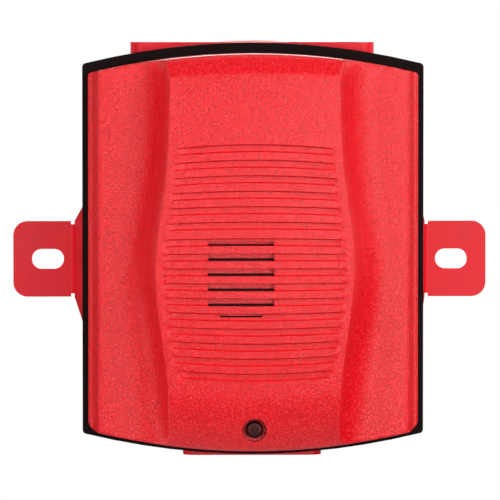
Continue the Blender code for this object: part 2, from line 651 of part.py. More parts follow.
def make_mounting_plate():
    outline = bowed_outline(PLATE_HALF_WIDTH, PLATE_HALF_HEIGHT, -PLATE_HALF_HEIGHT, 0.004)
    hook_radii = (HOOK_RADII[0] - 0.0009, HOOK_RADII[1] + 0.0009)
    holes = [rounded_rectangle((-0.030, 0.030), (-0.037, -0.026), 0.003)]
    for x in (-HOOK_X, HOOK_X):
        half = HOOK_WIDTH / 2 + 0.0008
        zs = [HINGE_Z - radius for radius in reversed(hook_radii)]
        holes.append(rounded_rectangle((x - half, x + half), zs, 0.0005, 1))
    for z in (0.04165, -0.04165):
        holes.append(rounded_rectangle((-0.0045, 0.0045), (z - 0.0022, z + 0.0022), 0.0021))
    holes += [arc(x, z, 0.0023, 0, 345, 15) for x, z in plate_screw_places()]
    plate = flat("mounting_plate", [outline] + holes, (BASE_DEPTH, PLATE_FRONT), "black_plastic")
    inside = BASE_DEPTH + 0.001
    boss_depths, bore_depths = (inside, INSERT_DEPTHS[1]), (INSERT_DEPTHS[0] - GAP, 0.07)
    join(plate, peg("add_insert_boss", INSERT_BOSS_RADIUS, boss_depths, 0, CAPTIVE_Z, sides=20))
    cut(plate, peg("cut_insert_bore", INSERT_BORE_RADIUS, bore_depths, 0, CAPTIVE_Z, sides=20))
    lug_depths = (inside, PLATE_FRONT + 0.003)
    for i, x in enumerate((-LUG_X, LUG_X)):
        join(plate, peg(f"add_block_lug_{i + 1}", LUG_RADIUS, lug_depths, x, LUG_Z, sides=12))
    return plate


def screw(name, head, shank, head_depths, tip_depth, x, z, facing, material="zinc_steel"):
    """A pan-head screw; its slot is cut by the caller where it is seen."""
    low, high = sorted(head_depths)
    height = high - low
    length = abs((low if facing == FRONT else high) - tip_depth)
    profile = [(0, height), (head * 0.75, height), (head, height * 0.5), (head, 0), (shank, 0),
               (shank, -length + shank * 0.5), (shank * 0.5, -length), (0, -length)]
    base = at(x, low if facing == FRONT else high, z)
    return turned(name, profile, base, facing, material, steps=12)


def make_terminals():
    body = block("terminal_block", BLOCK_SPAN_X, BLOCK_DEPTHS, BLOCK_SPAN_Z, "black_plastic", 0.0005)
    lug_depths = (0.05, PLATE_FRONT + 0.0035)
    for i, x in enumerate((-LUG_X, LUG_X)):
        cut(body, peg(f"cut_lug_{i + 1}", LUG_RADIUS + GAP, lug_depths, x, LUG_Z, sides=12))
    for i, x in enumerate(TERMINAL_XS):
        make_terminal(body, i + 1, x)


def make_terminal(body, number, x):
    """One terminal: its pocket in the block, its clamp, and the screw that holds a wire in it."""
    def wire_hole(name, radius, start_z):
        return rod(name, radius, at(x, WIRE_DEPTH, start_z), at(x, WIRE_DEPTH, WIRE_END_Z), sides=12)

    pocket_half, clamp_half, socket_half, slot_half = 0.0034, 0.0031, 0.0016, 0.0003
    cut(body,
        block(f"cut_pocket_{number}", (x - pocket_half, x + pocket_half), (0.0600, 0.07),
              (-0.0203, -0.0063)),
        wire_hole(f"cut_wire_entry_{number}", 0.0014, -0.0190))
    clamp = block(f"terminal_clamp_{number}", (x - clamp_half, x + clamp_half), (0.0603, 0.0636),
                  (-0.0200, -0.0066), "brass")
    cut(clamp,
        peg(f"cut_clamp_screw_{number}", 0.0017, (0.0608, 0.07), x, TERMINAL_SCREW_Z, sides=12),
        block(f"cut_clamp_socket_{number}", (x - socket_half, x + socket_half), (0.0607, 0.07),
              (PIN_Z - 0.0008, PIN_Z + 0.0013)),
        wire_hole(f"cut_clamp_wire_{number}", 0.0011, TERMINAL_SCREW_Z))
    fastener = screw(f"terminal_screw_{number}", 0.0026, 0.0014, (0.0639, 0.0653), 0.0625, x,
                     TERMINAL_SCREW_Z, FRONT)
    slot_zs = (TERMINAL_SCREW_Z - slot_half, TERMINAL_SCREW_Z + slot_half)
    cut(fastener, block(f"cut_terminal_slot_{number}", (x - 0.003, x + 0.003), (0.0646, 0.067), slot_zs))


def make_shorting_spring():
    """A leaf spring that keeps the middle terminals joined while the horn is off its plate."""
    thick, reach, rise = 0.0004, 0.0075, 0.0016
    base = BLOCK_SPAN_Z[1] + GAP
    places = [reach * (1 - i / 4) for i in range(9)]
    upper = [(x, base + thick + rise * (1 - (x / reach) ** 2)) for x in places]
    lower = [(x, z - thick) for x, z in reversed(upper)]
    return flat("shorting_spring", [upper + lower], (0.0600, 0.0632), "brass")


# ---------------------------------------------------------------- the horn
def make_front_housing():
    housing = housing_solid("front_housing", 0.0, "red_plastic")
    hollow = housing_solid("cut_housing_hollow", HOUSING_WALL)
    cut(hollow, flat("keep_seal_wall", seal_outlines(), (SEAL_DEPTHS[1] + GAP, BEYOND)))
    for i, (x, z) in enumerate(POSTS):
        cut(hollow,
            peg(f"keep_shoulder_{i + 1}", POST_SHOULDER, (BOARD_DEPTHS[1] + GAP, BEYOND), x, z),
            peg(f"keep_pilot_{i + 1}", POST_RADIUS, (COVER_DEPTHS[1] + GAP, BEYOND), x, z))
    cut(hollow,
        ring("keep_sounder_rib", RIB_RADII, (RIB_DEPTH, BEYOND), SOUNDER_X, SOUNDER_Z),
        peg("keep_screw_tube", SCREW_TUBE_RADIUS, (RECESS_FLOOR[0], BEYOND), 0, CAPTIVE_Z, sides=20))
    cut(housing, hollow)
    cut(housing, *[groove_cutter(i) for i in range(GROOVE_COUNT)])
    for index in range(FIRST_SLOT, LAST_SLOT + 1):
        name = f"cut_sound_slot_{index + 1}"
        cut(housing, block(name, slot_xs(index), (RIB_DEPTH, BEYOND), slot_span(index)))
    cut(housing,
        peg("cut_screw_recess", RECESS_RADIUS, (RECESS_FLOOR[1], BEYOND), 0, CAPTIVE_Z, sides=32),
        peg("cut_shank_hole", CAPTIVE_SHANK_RADIUS + GAP, (0.06, 0.08), 0, CAPTIVE_Z))
    for i, (x, z) in enumerate(POSTS):
        cut(housing, peg(f"cut_pilot_{i + 1}", COVER_SCREW_HOLE, (0.06, 0.079), x, z, sides=12))
    return housing


def hook_outline():
    """Side view of a hinge hook: an arc about the hinge axis, a lip behind, a stem to the cover."""
    def around(radius, angle):
        turn = math.radians(angle)
        return HINGE_DEPTH + radius * math.sin(turn), HINGE_Z - radius * math.cos(turn)

    low, high = HOOK_ANGLES
    inner, outer = HOOK_RADII
    steps = 7
    inside = [around(inner, high + (low - high) * i / steps) for i in range(steps + 1)]
    lip = [around(HOOK_LIP_RADIUS, low), around(HOOK_LIP_RADIUS, HOOK_LIP_ANGLE)]
    turn_back = high - 8 - HOOK_LIP_ANGLE
    outside = [around(outer, HOOK_LIP_ANGLE + turn_back * i / steps) for i in range(steps + 1)]
    stem_front = COVER_DEPTHS[0] + 0.001
    stem = [(stem_front, outside[-1][1]), (stem_front, inside[0][1])]
    return inside + lip + outside + stem


def make_rear_cover():
    outline = barrel_outline(0.0020, COVER_ENDS)
    pins = [rounded_rectangle((x - 0.0018, x + 0.0018), (PIN_Z - 0.0011, PIN_Z + 0.0011), 0.0004, 1)
            for x in TERMINAL_XS]
    screw_holes = [arc(x, z, COVER_SCREW_HOLE, 0, 330, 11) for x, z in POSTS]
    dial = arc(SELECTOR_X, SELECTOR_Z, 0.0040, 0, 348.75, 31)
    cover = flat("rear_cover", [outline, dial] + pins + screw_holes, COVER_DEPTHS, "black_plastic")
    for i, x in enumerate((-HOOK_X, HOOK_X)):
        half = HOOK_WIDTH / 2
        join(cover, side_flat(f"add_hook_{i + 1}", hook_outline(), (x - half, x + half)))
    for i, (x, z) in enumerate(POSTS):
        pad = peg(f"add_board_pad_{i + 1}", 0.0040, (COVER_DEPTHS[1] - 0.001, BOARD_DEPTHS[0] - GAP), x, z)
        cut(pad, peg(f"cut_board_pad_{i + 1}", POST_RADIUS + GAP, (COVER_DEPTHS[1] - 0.002, 0.08), x, z))
        join(cover, pad)
    return cover


def make_circuit_board():
    outline = barrel_outline(-0.0013, (COVER_ENDS[0] - 0.0030, COVER_ENDS[1] + 0.0030))
    holes = [arc(x, z, 0.0025, 0, 337.5, 15) for x, z in POSTS]
    holes.append(arc(SELECTOR_X, SELECTOR_Z, 0.0019, 0, 330, 11))
    return flat("circuit_board", [outline] + holes, BOARD_DEPTHS, "board_green")


def make_cover_seal():
    return flat("cover_seal", seal_outlines(), SEAL_DEPTHS, "black_rubber")


def make_sounder():
    rear, front = CHAMBER_DEPTHS
    height = front - rear
    wall, floor, ledge, thin = 0.0015, 0.0014, 0.0048, 0.0004
    cavity, inner = 0.0165, SOUNDER_RADIUS - wall
    lead_xs = (SOUNDER_X - 0.004, SOUNDER_X + 0.004)
    profile = [(0, floor), (cavity, floor), (cavity, ledge), (inner, ledge), (inner, height),
               (SOUNDER_RADIUS, height), (SOUNDER_RADIUS, 0), (0, 0)]
    chamber = turned("sounder_chamber", profile, at(SOUNDER_X, rear, SOUNDER_Z), FRONT, "black_plastic",
                     steps=24)
    for i, x in enumerate(lead_xs):
        cut(chamber, peg(f"cut_lead_{i + 1}", 0.0009, (rear - 0.001, rear + 0.003), x, SOUNDER_Z, sides=12))

    def disc(name, radius, depths, material):
        return peg(name, radius, depths, SOUNDER_X, SOUNDER_Z, material, sides=24)

    disc_rear = rear + ledge + GAP
    disc("piezo_disc", cavity + 0.001, (disc_rear, disc_rear + thin), "brass")
    disc("piezo_ceramic", 0.0125, (disc_rear - GAP - thin, disc_rear - GAP), "white_ceramic")
    disc("weather_membrane", RIB_RADII[1], (0.0815, 0.0817), "black_membrane")
    ring("disc_clamp_ring", (0.0160, inner - GAP), (disc_rear + thin + GAP, front - 0.0002), SOUNDER_X,
         SOUNDER_Z, "black_plastic")
    ring("chamber_seal", RIB_RADII, (front + GAP, 0.0812), SOUNDER_X, SOUNDER_Z, "black_rubber")
    for i, (x, colour) in enumerate(zip(lead_xs, ("black_rubber", "copper"))):
        depths = (rear - 0.0002, rear + 0.002, disc_rear - 2 * GAP - thin)
        route = [at(x + 0.001, BOARD_DEPTHS[1] + GAP, SOUNDER_Z)] + [at(x, d, SOUNDER_Z) for d in depths]
        wire(f"piezo_lead_{i + 1}", route, 0.00035, colour)


def make_slot_baffle():
    """A disc of bars behind the slots, so that no straight way leads in."""
    radius = RIB_RADII[0] - GAP
    disc = peg("slot_baffle", radius, BAFFLE_DEPTHS, SOUNDER_X, SOUNDER_Z, "red_plastic", sides=24)
    for index in range(FIRST_SLOT, LAST_SLOT + 1):
        low, high = slot_span(index)
        window = (low - 0.0002, low + 0.3 * (high - low))
        cut(disc, block(f"cut_baffle_{index + 1}", slot_xs(index), (0.080, 0.086), window))
    return disc


def make_board_parts():
    face = BOARD_DEPTHS[1] + GAP
    rim, stem, height, flange = 0.006, 0.0028, 0.0095, 0.0015
    core = [(0, height), (rim, height), (rim, height - flange), (stem, height - flange), (stem, flange),
            (rim, flange), (rim, 0), (0, 0)]
    turned("inductor_core", core, at(-0.012, face, 0.030), FRONT, "ferrite")
    ring("inductor_winding", (0.0031, 0.0054), (face + 0.0018, face + 0.0077), -0.012, 0.030, "copper", 24)
    for name, radius, length, x, z in (("capacitor_large", 0.005, 0.0105, 0.003, 0.046),
                                       ("capacitor_small", 0.0032, 0.008, -0.010, 0.049)):
        peg(name, radius, (face, face + length), x, z, "blue_sleeve", sides=20, bevel=0.0006)
    block("control_chip", (0.0045, 0.0105), (face, face + 0.0017), (0.0245, 0.0325), "ferrite", 0.0002)
    block("rectifier", (-0.024, -0.0195), (face, face + 0.0025), (0.018, 0.0225), "ferrite", 0.0002)
    base = block("selector_base", (SELECTOR_X - 0.005, SELECTOR_X + 0.005), (face, face + 0.0048),
                 (SELECTOR_Z - 0.005, SELECTOR_Z + 0.005), "grey_plastic", 0.0003)
    cut(base, peg("cut_selector_base", 0.0018, (0.06, face + 0.0038), SELECTOR_X, SELECTOR_Z))
    for i, x in enumerate(TERMINAL_XS):
        block(f"contact_pin_{i + 1}", (x - 0.0012, x + 0.0012), (0.0612, BOARD_DEPTHS[0] - GAP),
              (PIN_Z - 0.0004, PIN_Z + 0.0004), "brass", 0.00015)


def make_tone_selector():
    rim, stem, height, shoulder = 0.0036, 0.0014, 0.0087, 0.0061
    profile = [(0, height), (rim, height), (rim, shoulder), (stem, shoulder), (stem, 0), (0, 0)]
    top = SELECTOR_REAR
    base = at(SELECTOR_X, top + height, SELECTOR_Z)
    selector = turned("tone_selector", profile, base, REAR, "grey_plastic")
    slot = block("cut_selector_slot", (SELECTOR_X - 0.0005, SELECTOR_X + 0.0005), (0.060, top + 0.0011),
                 (SELECTOR_Z - 0.0027, SELECTOR_Z + 0.0027))
    mark = block("cut_selector_mark", (SELECTOR_X - 0.0003, SELECTOR_X + 0.0003), (0.060, top + 0.0005),
                 (SELECTOR_Z + 0.0026, SELECTOR_Z + 0.0045))
    return cut(selector, slot, mark)


def make_captive_screw():
    """A tamper-resistant screw: a six-sided socket with a pin left standing in it."""
    piece = screw("captive_screw", CAPTIVE_HEAD_RADIUS, CAPTIVE_SHANK_RADIUS, CAPTIVE_HEAD_DEPTHS,
                  CAPTIVE_TIP_DEPTH, 0, CAPTIVE_Z, FRONT)
    front = CAPTIVE_HEAD_DEPTHS[1]
    socket = peg("cut_socket", 0.0015, (front - 0.0016, front + 0.001), 0, CAPTIVE_Z, sides=6)
    cut(socket, peg("keep_socket_pin", 0.00055, (front - 0.003, front - 0.0002), 0, CAPTIVE_Z, sides=10))
    cut(piece, socket)
    washer_front = RECESS_FLOOR[0] - GAP - CAPTIVE_TRAVEL
    ring("captive_washer", (CAPTIVE_SHANK_RADIUS + GAP, 0.0042), (washer_front - 0.001, washer_front),
         0, CAPTIVE_Z, "black_plastic", steps=20)


def parent_to_empty(name, location, pieces):
    """An empty on a joint's axis, which carries the pieces that turn or slide there."""
    empty = bpy.data.objects.new(name, None)
    PARTS.objects.link(empty)
    empty.location = location
    bpy.context.view_layer.update()
    for piece in pieces:
        piece.parent = empty
        piece.matrix_parent_inverse = empty.matrix_world.inverted()
    return empty


make_back_box()
make_bracket(-1, "bracket_left")
make_bracket(1, "bracket_right")
rivet_places = [(rivet_side, rivet_z) for rivet_side in (-1, 1) for rivet_z in (RIVET_Z, -RIVET_Z)]
for rivet_index, (rivet_side, rivet_z) in enumerate(rivet_places):
    make_rivet(f"bracket_rivet_{rivet_index + 1}", rivet_side, TAB_CENTRE_Z + rivet_z)
make_conduit_plug()
ground_head = (GROUND_PAD_TOP + GAP, GROUND_PAD_TOP + GAP + 0.0025)
screw("ground_screw", 0.0042, 0.0019, ground_head, 0.0022, GROUND_X, GROUND_Z, FRONT, "green_paint")
make_gasket()
make_mounting_plate()
plate_head = (PLATE_FRONT + GAP, PLATE_FRONT + GAP + 0.0024)
for screw_index, (screw_x, screw_z) in enumerate(plate_screw_places()):
    screw(f"plate_screw_{screw_index + 1}", 0.0038, 0.0019, plate_head, 0.0425, screw_x, screw_z, FRONT)
ring("screw_insert", (0.00225, 0.0035), INSERT_DEPTHS, 0, CAPTIVE_Z, "brass", steps=20)
make_terminals()
make_shorting_spring()
wall_side = set(PARTS.objects)

make_front_housing()
make_rear_cover()
cover_head = (COVER_DEPTHS[0] - GAP - 0.0013, COVER_DEPTHS[0] - GAP)
for screw_index, (screw_x, screw_z) in enumerate(POSTS):
    screw(f"cover_screw_{screw_index + 1}", 0.0024, 0.00105, cover_head, 0.0765, screw_x, screw_z, REAR)
make_cover_seal()
make_circuit_board()
make_board_parts()
make_sounder()
make_slot_baffle()
make_tone_selector()
make_captive_screw()

horn_pieces = [piece for piece in PARTS.objects if piece not in wall_side]
turning = {"tone_selector", "captive_screw", "captive_washer"}
horn = parent_to_empty("cover_swing_axis", at(0, HINGE_DEPTH, HINGE_Z),
                       [piece for piece in horn_pieces if piece.name not in turning])
selector_axis = parent_to_empty("tone_selector_axis", at(SELECTOR_X, COVER_DEPTHS[0], SELECTOR_Z),
                                [PARTS.objects["tone_selector"]])
screw_axis = parent_to_empty("screw_axis", at(0, CAPTIVE_HEAD_DEPTHS[1], CAPTIVE_Z),
                             [PARTS.objects["captive_screw"], PARTS.objects["captive_washer"]])
for axis in (selector_axis, screw_axis):
    axis.parent = horn
    axis.matrix_parent_inverse = horn.matrix_world.inverted()
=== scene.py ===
"""Looks of the wall-mounted alarm horn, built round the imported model.

Metres, +Z up. The horn faces -Y and the wall is the plane y = 0. A depth is a distance out
from the wall, so a point at depth d has y = -d. A few parts are made afresh in fine detail,
most others are their CAD solid with rounded edges, and the smallest stay as they are in the CAD.
"""

import json
import math

import bmesh
import bpy
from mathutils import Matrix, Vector

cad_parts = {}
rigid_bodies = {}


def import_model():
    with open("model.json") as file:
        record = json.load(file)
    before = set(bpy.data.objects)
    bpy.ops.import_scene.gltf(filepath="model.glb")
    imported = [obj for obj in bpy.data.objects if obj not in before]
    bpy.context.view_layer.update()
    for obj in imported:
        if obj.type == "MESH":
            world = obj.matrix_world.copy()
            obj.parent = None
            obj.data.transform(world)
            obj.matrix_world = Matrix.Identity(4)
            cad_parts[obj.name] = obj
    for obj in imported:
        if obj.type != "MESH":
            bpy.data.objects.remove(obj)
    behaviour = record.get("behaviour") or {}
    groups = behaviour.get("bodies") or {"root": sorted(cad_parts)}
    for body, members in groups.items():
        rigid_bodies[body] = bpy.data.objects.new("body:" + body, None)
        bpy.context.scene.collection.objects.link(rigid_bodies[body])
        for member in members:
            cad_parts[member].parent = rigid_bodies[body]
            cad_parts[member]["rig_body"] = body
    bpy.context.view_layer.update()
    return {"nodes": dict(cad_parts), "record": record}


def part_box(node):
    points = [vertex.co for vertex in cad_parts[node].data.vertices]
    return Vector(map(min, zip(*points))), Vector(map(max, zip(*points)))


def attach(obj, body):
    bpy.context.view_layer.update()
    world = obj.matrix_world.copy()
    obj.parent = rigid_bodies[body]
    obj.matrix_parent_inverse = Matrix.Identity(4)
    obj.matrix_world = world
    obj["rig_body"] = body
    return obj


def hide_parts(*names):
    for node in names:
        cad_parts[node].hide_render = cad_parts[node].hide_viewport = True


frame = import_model()
NODES = frame["nodes"]

# ---------------------------------------------------------------- sizes of the housing, as in the CAD
BASE_DEPTH = -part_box("front_housing")[1].y  # rear rim of the housing
HALF_WIDTH = 0.0593
HALF_HEIGHT = 0.0711
PANEL_DEPTH = 0.03299  # of the raised panel's highest place, in front of the rim
SKIN, LEAST_HOLLOW = 0.0022, 0.0005
BOW_RADIUS = 0.246  # of the top and bottom edges
BOW_MIDDLE_Z, BOW_REACH = -0.006, 0.047  # where rows are straight, and how far off they bow in full
PANEL_HALF_WIDTH, PANEL_BULGE = 0.0303, 0.0052
BULGE_Z, BULGE_REACH = -0.0065, 0.031
CROWN_Z, CROWN_RADIUS, CROSS_RADIUS = 0.015, 0.5, 0.3
CREASE_Z, TOP_SLOPE, CREASE_BLEND = 0.0649, 0.84, 0.0009
ROLL_START_Z, ROLL_RADIUS = -0.050, 0.036
WALL_SLOPE = 0.30  # sideways run of the panel's side walls for each unit of depth
WALL_LEAN = math.atan(1 / WALL_SLOPE)
COVE_RADIUS = 0.0125  # of the hollow curve from a side wall to its wing
WING_DEPTH, WING_CROWN, WING_SHOULDER = 0.0133, 0.0485, 0.0553
WING_FALL = 0.0005  # from where a wing starts to crown to its shoulder
LIP_START, LIP_DEPTH, LIP_SLOPE = 0.0578, 0.0046, 0.25
EDGE_RADIUS = 0.0008  # of the rounded side edges
END_RADIUS, END_RADIUS_ADDED, END_BLEND = 0.0006, 0.0008, 0.008  # top and bottom edges: more at the panel
EDGE_BLEND, INNER_BLEND = 0.0011, 0.0015  # rounding where the panel meets its side walls
TOP_CORNER, BOTTOM_CORNER, CORNER_REACH = 0.0010, 0.0030, 0.008

GROOVE_HEIGHT, GROOVE_SINK = 0.0029, 0.0012
UPPER_GROOVES, UPPER_PITCH, GROOVE_TOP_Z = 6, 0.00548, 0.0394
LOWER_GROOVES, LOWER_PITCH, LOWER_TOP_Z = 10, 0.00537, 0.0061
GROOVE_COUNT = UPPER_GROOVES + LOWER_GROOVES
GROOVE_INSET, GROOVE_RAMP = 0.0024, 0.0042
LAST_GROOVE_INSET = 0.0012  # further in for the lowest groove
GROOVE_WALL = 0.0005  # run of a groove's sloped walls

SLOT_X, SLOT_HALF_WIDTH, LAST_SLOT_HALF_WIDTH = -0.0049, 0.01175, 0.00745
FIRST_SLOT, LAST_SLOT = 6, 11
SCREW_Z = -0.0629
RECESS_RADIUS, RECESS_FLOORS = 0.0044, (0.0725, 0.0744)
SHANK_HOLE, SHANK_HOLE_END = 0.00205, 0.08
POSTS = [(-0.025, 0.053), (0.025, 0.053), (-0.024, -0.046), (0.024, -0.046)]
POST_RADIUS, NECK_RADIUS, POST_HOLE, POST_HOLE_END, TUBE_RADIUS = 0.0032, 0.0022, 0.00135, 0.079, 0.0062
SEAL_WALL = [(0.0013, 0.0004), (-0.0005, 0.0022)]  # outer and inner face: offset, and inset at the ends
COVER_FRONT, BOARD_FRONT, SEAL_FRONT = 0.0688, 0.0719, 0.0703
COVER_ENDS = (0.0662, -0.0550)
RIB_RADII, RIB_DEPTH, SOUNDER_Z = (0.0186, 0.0206), 0.0820, -0.0086
BEHIND, BEYOND, FAR_BEYOND = 0.06, 0.1, 0.11  # depths clear of the housing, for tools

# ---------------------------------------------------------------- sizes of the other pieces
TAB_Z, TAB_HEIGHT, TAB_END_X, TAB_CORNER = -0.0058, 0.028, 0.0873, 0.0053
TAB_SLOT_X, TAB_SLOT_HALF_LENGTH, TAB_SLOT_HALF_WIDTH = 0.0745, 0.0059, 0.00365
LEG_HEIGHT, LEG_FRONT_X, LEG_REAR_X, LEG_DEPTHS = 0.047, 0.0591, 0.0628, (0.0415, 0.0505)
RELIEF_X = 0.0618  # where the notches at the ends of the fold start
SHEET, LEG_BEND, TAB_BENDS = 0.002, 0.006, (0.0017, 0.0012)  # a fold's radius, behind and in front
RIVET_Z, RIVET_HEAD_X, RIVET_TAIL_X = 0.013, 0.0610, 0.0560
RIVET_SINK = [(0, 0.0621), (0.0034, 0.0621), (0.0034, 0.0609), (0.0019, 0.0596), (0.0019, 0.055), (0, 0.055)]
CONDUIT_DEPTH, CONDUIT_RADIUS, CONDUIT_PITCH = 0.026, 0.0133, 0.00181
CONDUIT_ENTRY = (-0.078, -0.062)  # heights between which the open entry is threaded
PLUG_TOP, PLUG_RADIUS, PLUG_LENGTH, PLUG_SOCKET = 0.0743, 0.0130, 0.0095, (0.0055, 0.006)
CAPTIVE_PITCH = 0.0008
SELECTOR_X, SELECTOR_Z = 0.017, 0.026
PLATE_SCREWS = [(x, z) for x in (-0.047, 0.047) for z in (-0.050, 0.050)]
TERMINALS = [((number - 2.5) * 0.0105, -0.0165) for number in range(1, 5)]
GROUND_SCREW, COARSE_PITCH = (-0.030, -0.030), 0.0009
COIL_X, COIL_Z, COIL_DEPTHS, COIL_RADII, COIL_TURNS = -0.012, 0.030, (0.0018, 0.0077), (0.0031, 0.0054), 13
FRONT, REAR, UP = Vector((0, -1, 0)), Vector((0, 1, 0)), Vector((0, 0, 1))


# ---------------------------------------------------------------- mesh helpers
SHARP_ANGLE, BEVEL_ANGLE = 35, 30  # degrees a surface turns by at a crisp line, and at an edge to round


def at(x, depth, z):
    return Vector((x, -depth, z))


def add_object(name, bm):
    mesh = bpy.data.meshes.new(name)
    bm.to_mesh(mesh)
    bm.free()
    obj = bpy.data.objects.new(name, mesh)
    bpy.context.scene.collection.objects.link(obj)
    return shade(obj)


def shade(obj):
    """Smooth faces, with a crisp line where they meet at more than the sharp angle."""
    obj.data.shade_smooth()
    obj.data.set_sharp_from_angle(angle=math.radians(SHARP_ANGLE))
    return obj


def apply_modifiers(obj):
    graph = bpy.context.evaluated_depsgraph_get()
    old = obj.data
    mesh = bpy.data.meshes.new_from_object(obj.evaluated_get(graph))
    obj.modifiers.clear()
    obj.data = mesh
    bpy.data.meshes.remove(old)
    return obj


def boolean(target, operation, tools):
    """Cuts the tools from the target, or keeps what they share with it, and removes them."""
    for tool in tools:
        modifier = target.modifiers.new(tool.name, "BOOLEAN")
        modifier.operation = operation
        modifier.solver = "EXACT"
        modifier.object = tool
    apply_modifiers(target)
    for tool in tools:
        bpy.data.objects.remove(tool)
    return shade(target)


def cut(target, *tools):
    return boolean(target, "DIFFERENCE", tools)


def rod(name, radius, start, end, sides=48):
    """A round bar between two points."""
    bm = bmesh.new()
    bmesh.ops.create_cone(bm, cap_ends=True, segments=sides, radius1=radius, radius2=radius,
                          depth=(end - start).length)
    turn = UP.rotation_difference(end - start).to_matrix()
    bmesh.ops.rotate(bm, matrix=turn, verts=bm.verts)
    bmesh.ops.translate(bm, vec=(start + end) / 2, verts=bm.verts)
    return add_object(name, bm)


def peg(name, radius, depths, place, sides=48):
    """A round bar square to the wall, at that (x, z) place."""
    x, z = place
    return rod(name, radius, at(x, depths[0], z), at(x, depths[1], z), sides)


def block(name, xs, depths, zs):
    bm = bmesh.new()
    bmesh.ops.create_cube(bm, size=1.0)
    bmesh.ops.scale(bm, vec=[abs(b - a) for a, b in (xs, depths, zs)], verts=bm.verts)
    bmesh.ops.translate(bm, vec=at(sum(xs) / 2, sum(depths) / 2, sum(zs) / 2), verts=bm.verts)
    return add_object(name, bm)


def turned(name, profile, base, facing, steps=64):
    """A closed solid: (radius, height) points from the axis and back to it, turned about it."""
    bm = bmesh.new()
    turn = UP.rotation_difference(facing).to_matrix()
    rings = []
    for radius, height in profile:
        if radius == 0:
            rings.append([bm.verts.new(base + turn @ Vector((0, 0, height)))])
            continue
        angles = [2 * math.pi * i / steps for i in range(steps)]
        rings.append([bm.verts.new(base + turn @ Vector((radius * math.cos(a), radius * math.sin(a),
                                                         height))) for a in angles])
    for a, b in zip(rings, rings[1:]):
        for i in range(steps):
            j = (i + 1) % steps
            corners = [a[i % len(a)], b[i % len(b)], b[j % len(b)], a[j % len(a)]]
            bm.faces.new(list(dict.fromkeys(corners)))
    bmesh.ops.recalc_face_normals(bm, faces=bm.faces)
    return add_object(name, bm)


def extruded(name, outline, ends, corner):
    """A solid with that closed outline at both ends; corner(a, b, end) gives a point in space."""
    bm = bmesh.new()
    near, far = [[bm.verts.new(corner(a, b, end)) for a, b in outline] for end in ends]
    for i in range(len(outline)):
        bm.faces.new((near[i - 1], near[i], far[i], far[i - 1]))
    bm.faces.new(near)
    bm.faces.new(far[::-1])
    bmesh.ops.recalc_face_normals(bm, faces=bm.faces)
    return add_object(name, bm)


def prism(name, outline, depths):
    """A solid parallel to the wall with that closed (x, z) outline."""
    return extruded(name, outline, depths, lambda x, z, depth: at(x, depth, z))


def filleted(corners, steps=6):
    """A closed outline from (a, b, radius) corners, each rounded to its radius."""
    outline = []
    for i, (a, b, radius) in enumerate(corners):
        here = Vector((a, b))
        if not radius:
            outline.append((a, b))
            continue
        before = (Vector(corners[i - 1][:2]) - here).normalized()
        after = (Vector(corners[(i + 1) % len(corners)][:2]) - here).normalized()
        half = before.angle(after) / 2
        centre = here + (before + after).normalized() * radius / math.sin(half)
        start = here + before * radius / math.tan(half) - centre
        end = here + after * radius / math.tan(half) - centre
        for step in range(steps + 1):
            spoke = start.lerp(end, step / steps).normalized() * radius
            outline.append((centre.x + spoke.x, centre.y + spoke.y))
    return outline


def soften(obj, width):
    """Rounds off every clear edge."""
    bevel = obj.modifiers.new("soft_edges", "BEVEL")
    bevel.width, bevel.segments = width, 2
    bevel.limit_method, bevel.angle_limit = "ANGLE", math.radians(BEVEL_ANGLE)
    bevel.use_clamp_overlap = True
    return even_shading(shade(apply_modifiers(obj)))


def even_shading(obj):
    """Keeps the large faces flat, so that only the rounded edges are shaded as curves."""
    obj.modifiers.new("even_shading", "WEIGHTED_NORMAL").keep_sharp = True
    return apply_modifiers(obj)


# ---------------------------------------------------------------- materials
def principled(name, colour, roughness, metallic=0.0, specular=0.5):
    material = bpy.data.materials.new(name)
    material.use_nodes = True
    shader = material.node_tree.nodes["Principled BSDF"]
    shader.inputs["Base Color"].default_value = (*colour, 1.0)
    shader.inputs["Roughness"].default_value = roughness
    shader.inputs["Metallic"].default_value = metallic
    shader.inputs["Specular IOR Level"].default_value = specular
    return material, shader


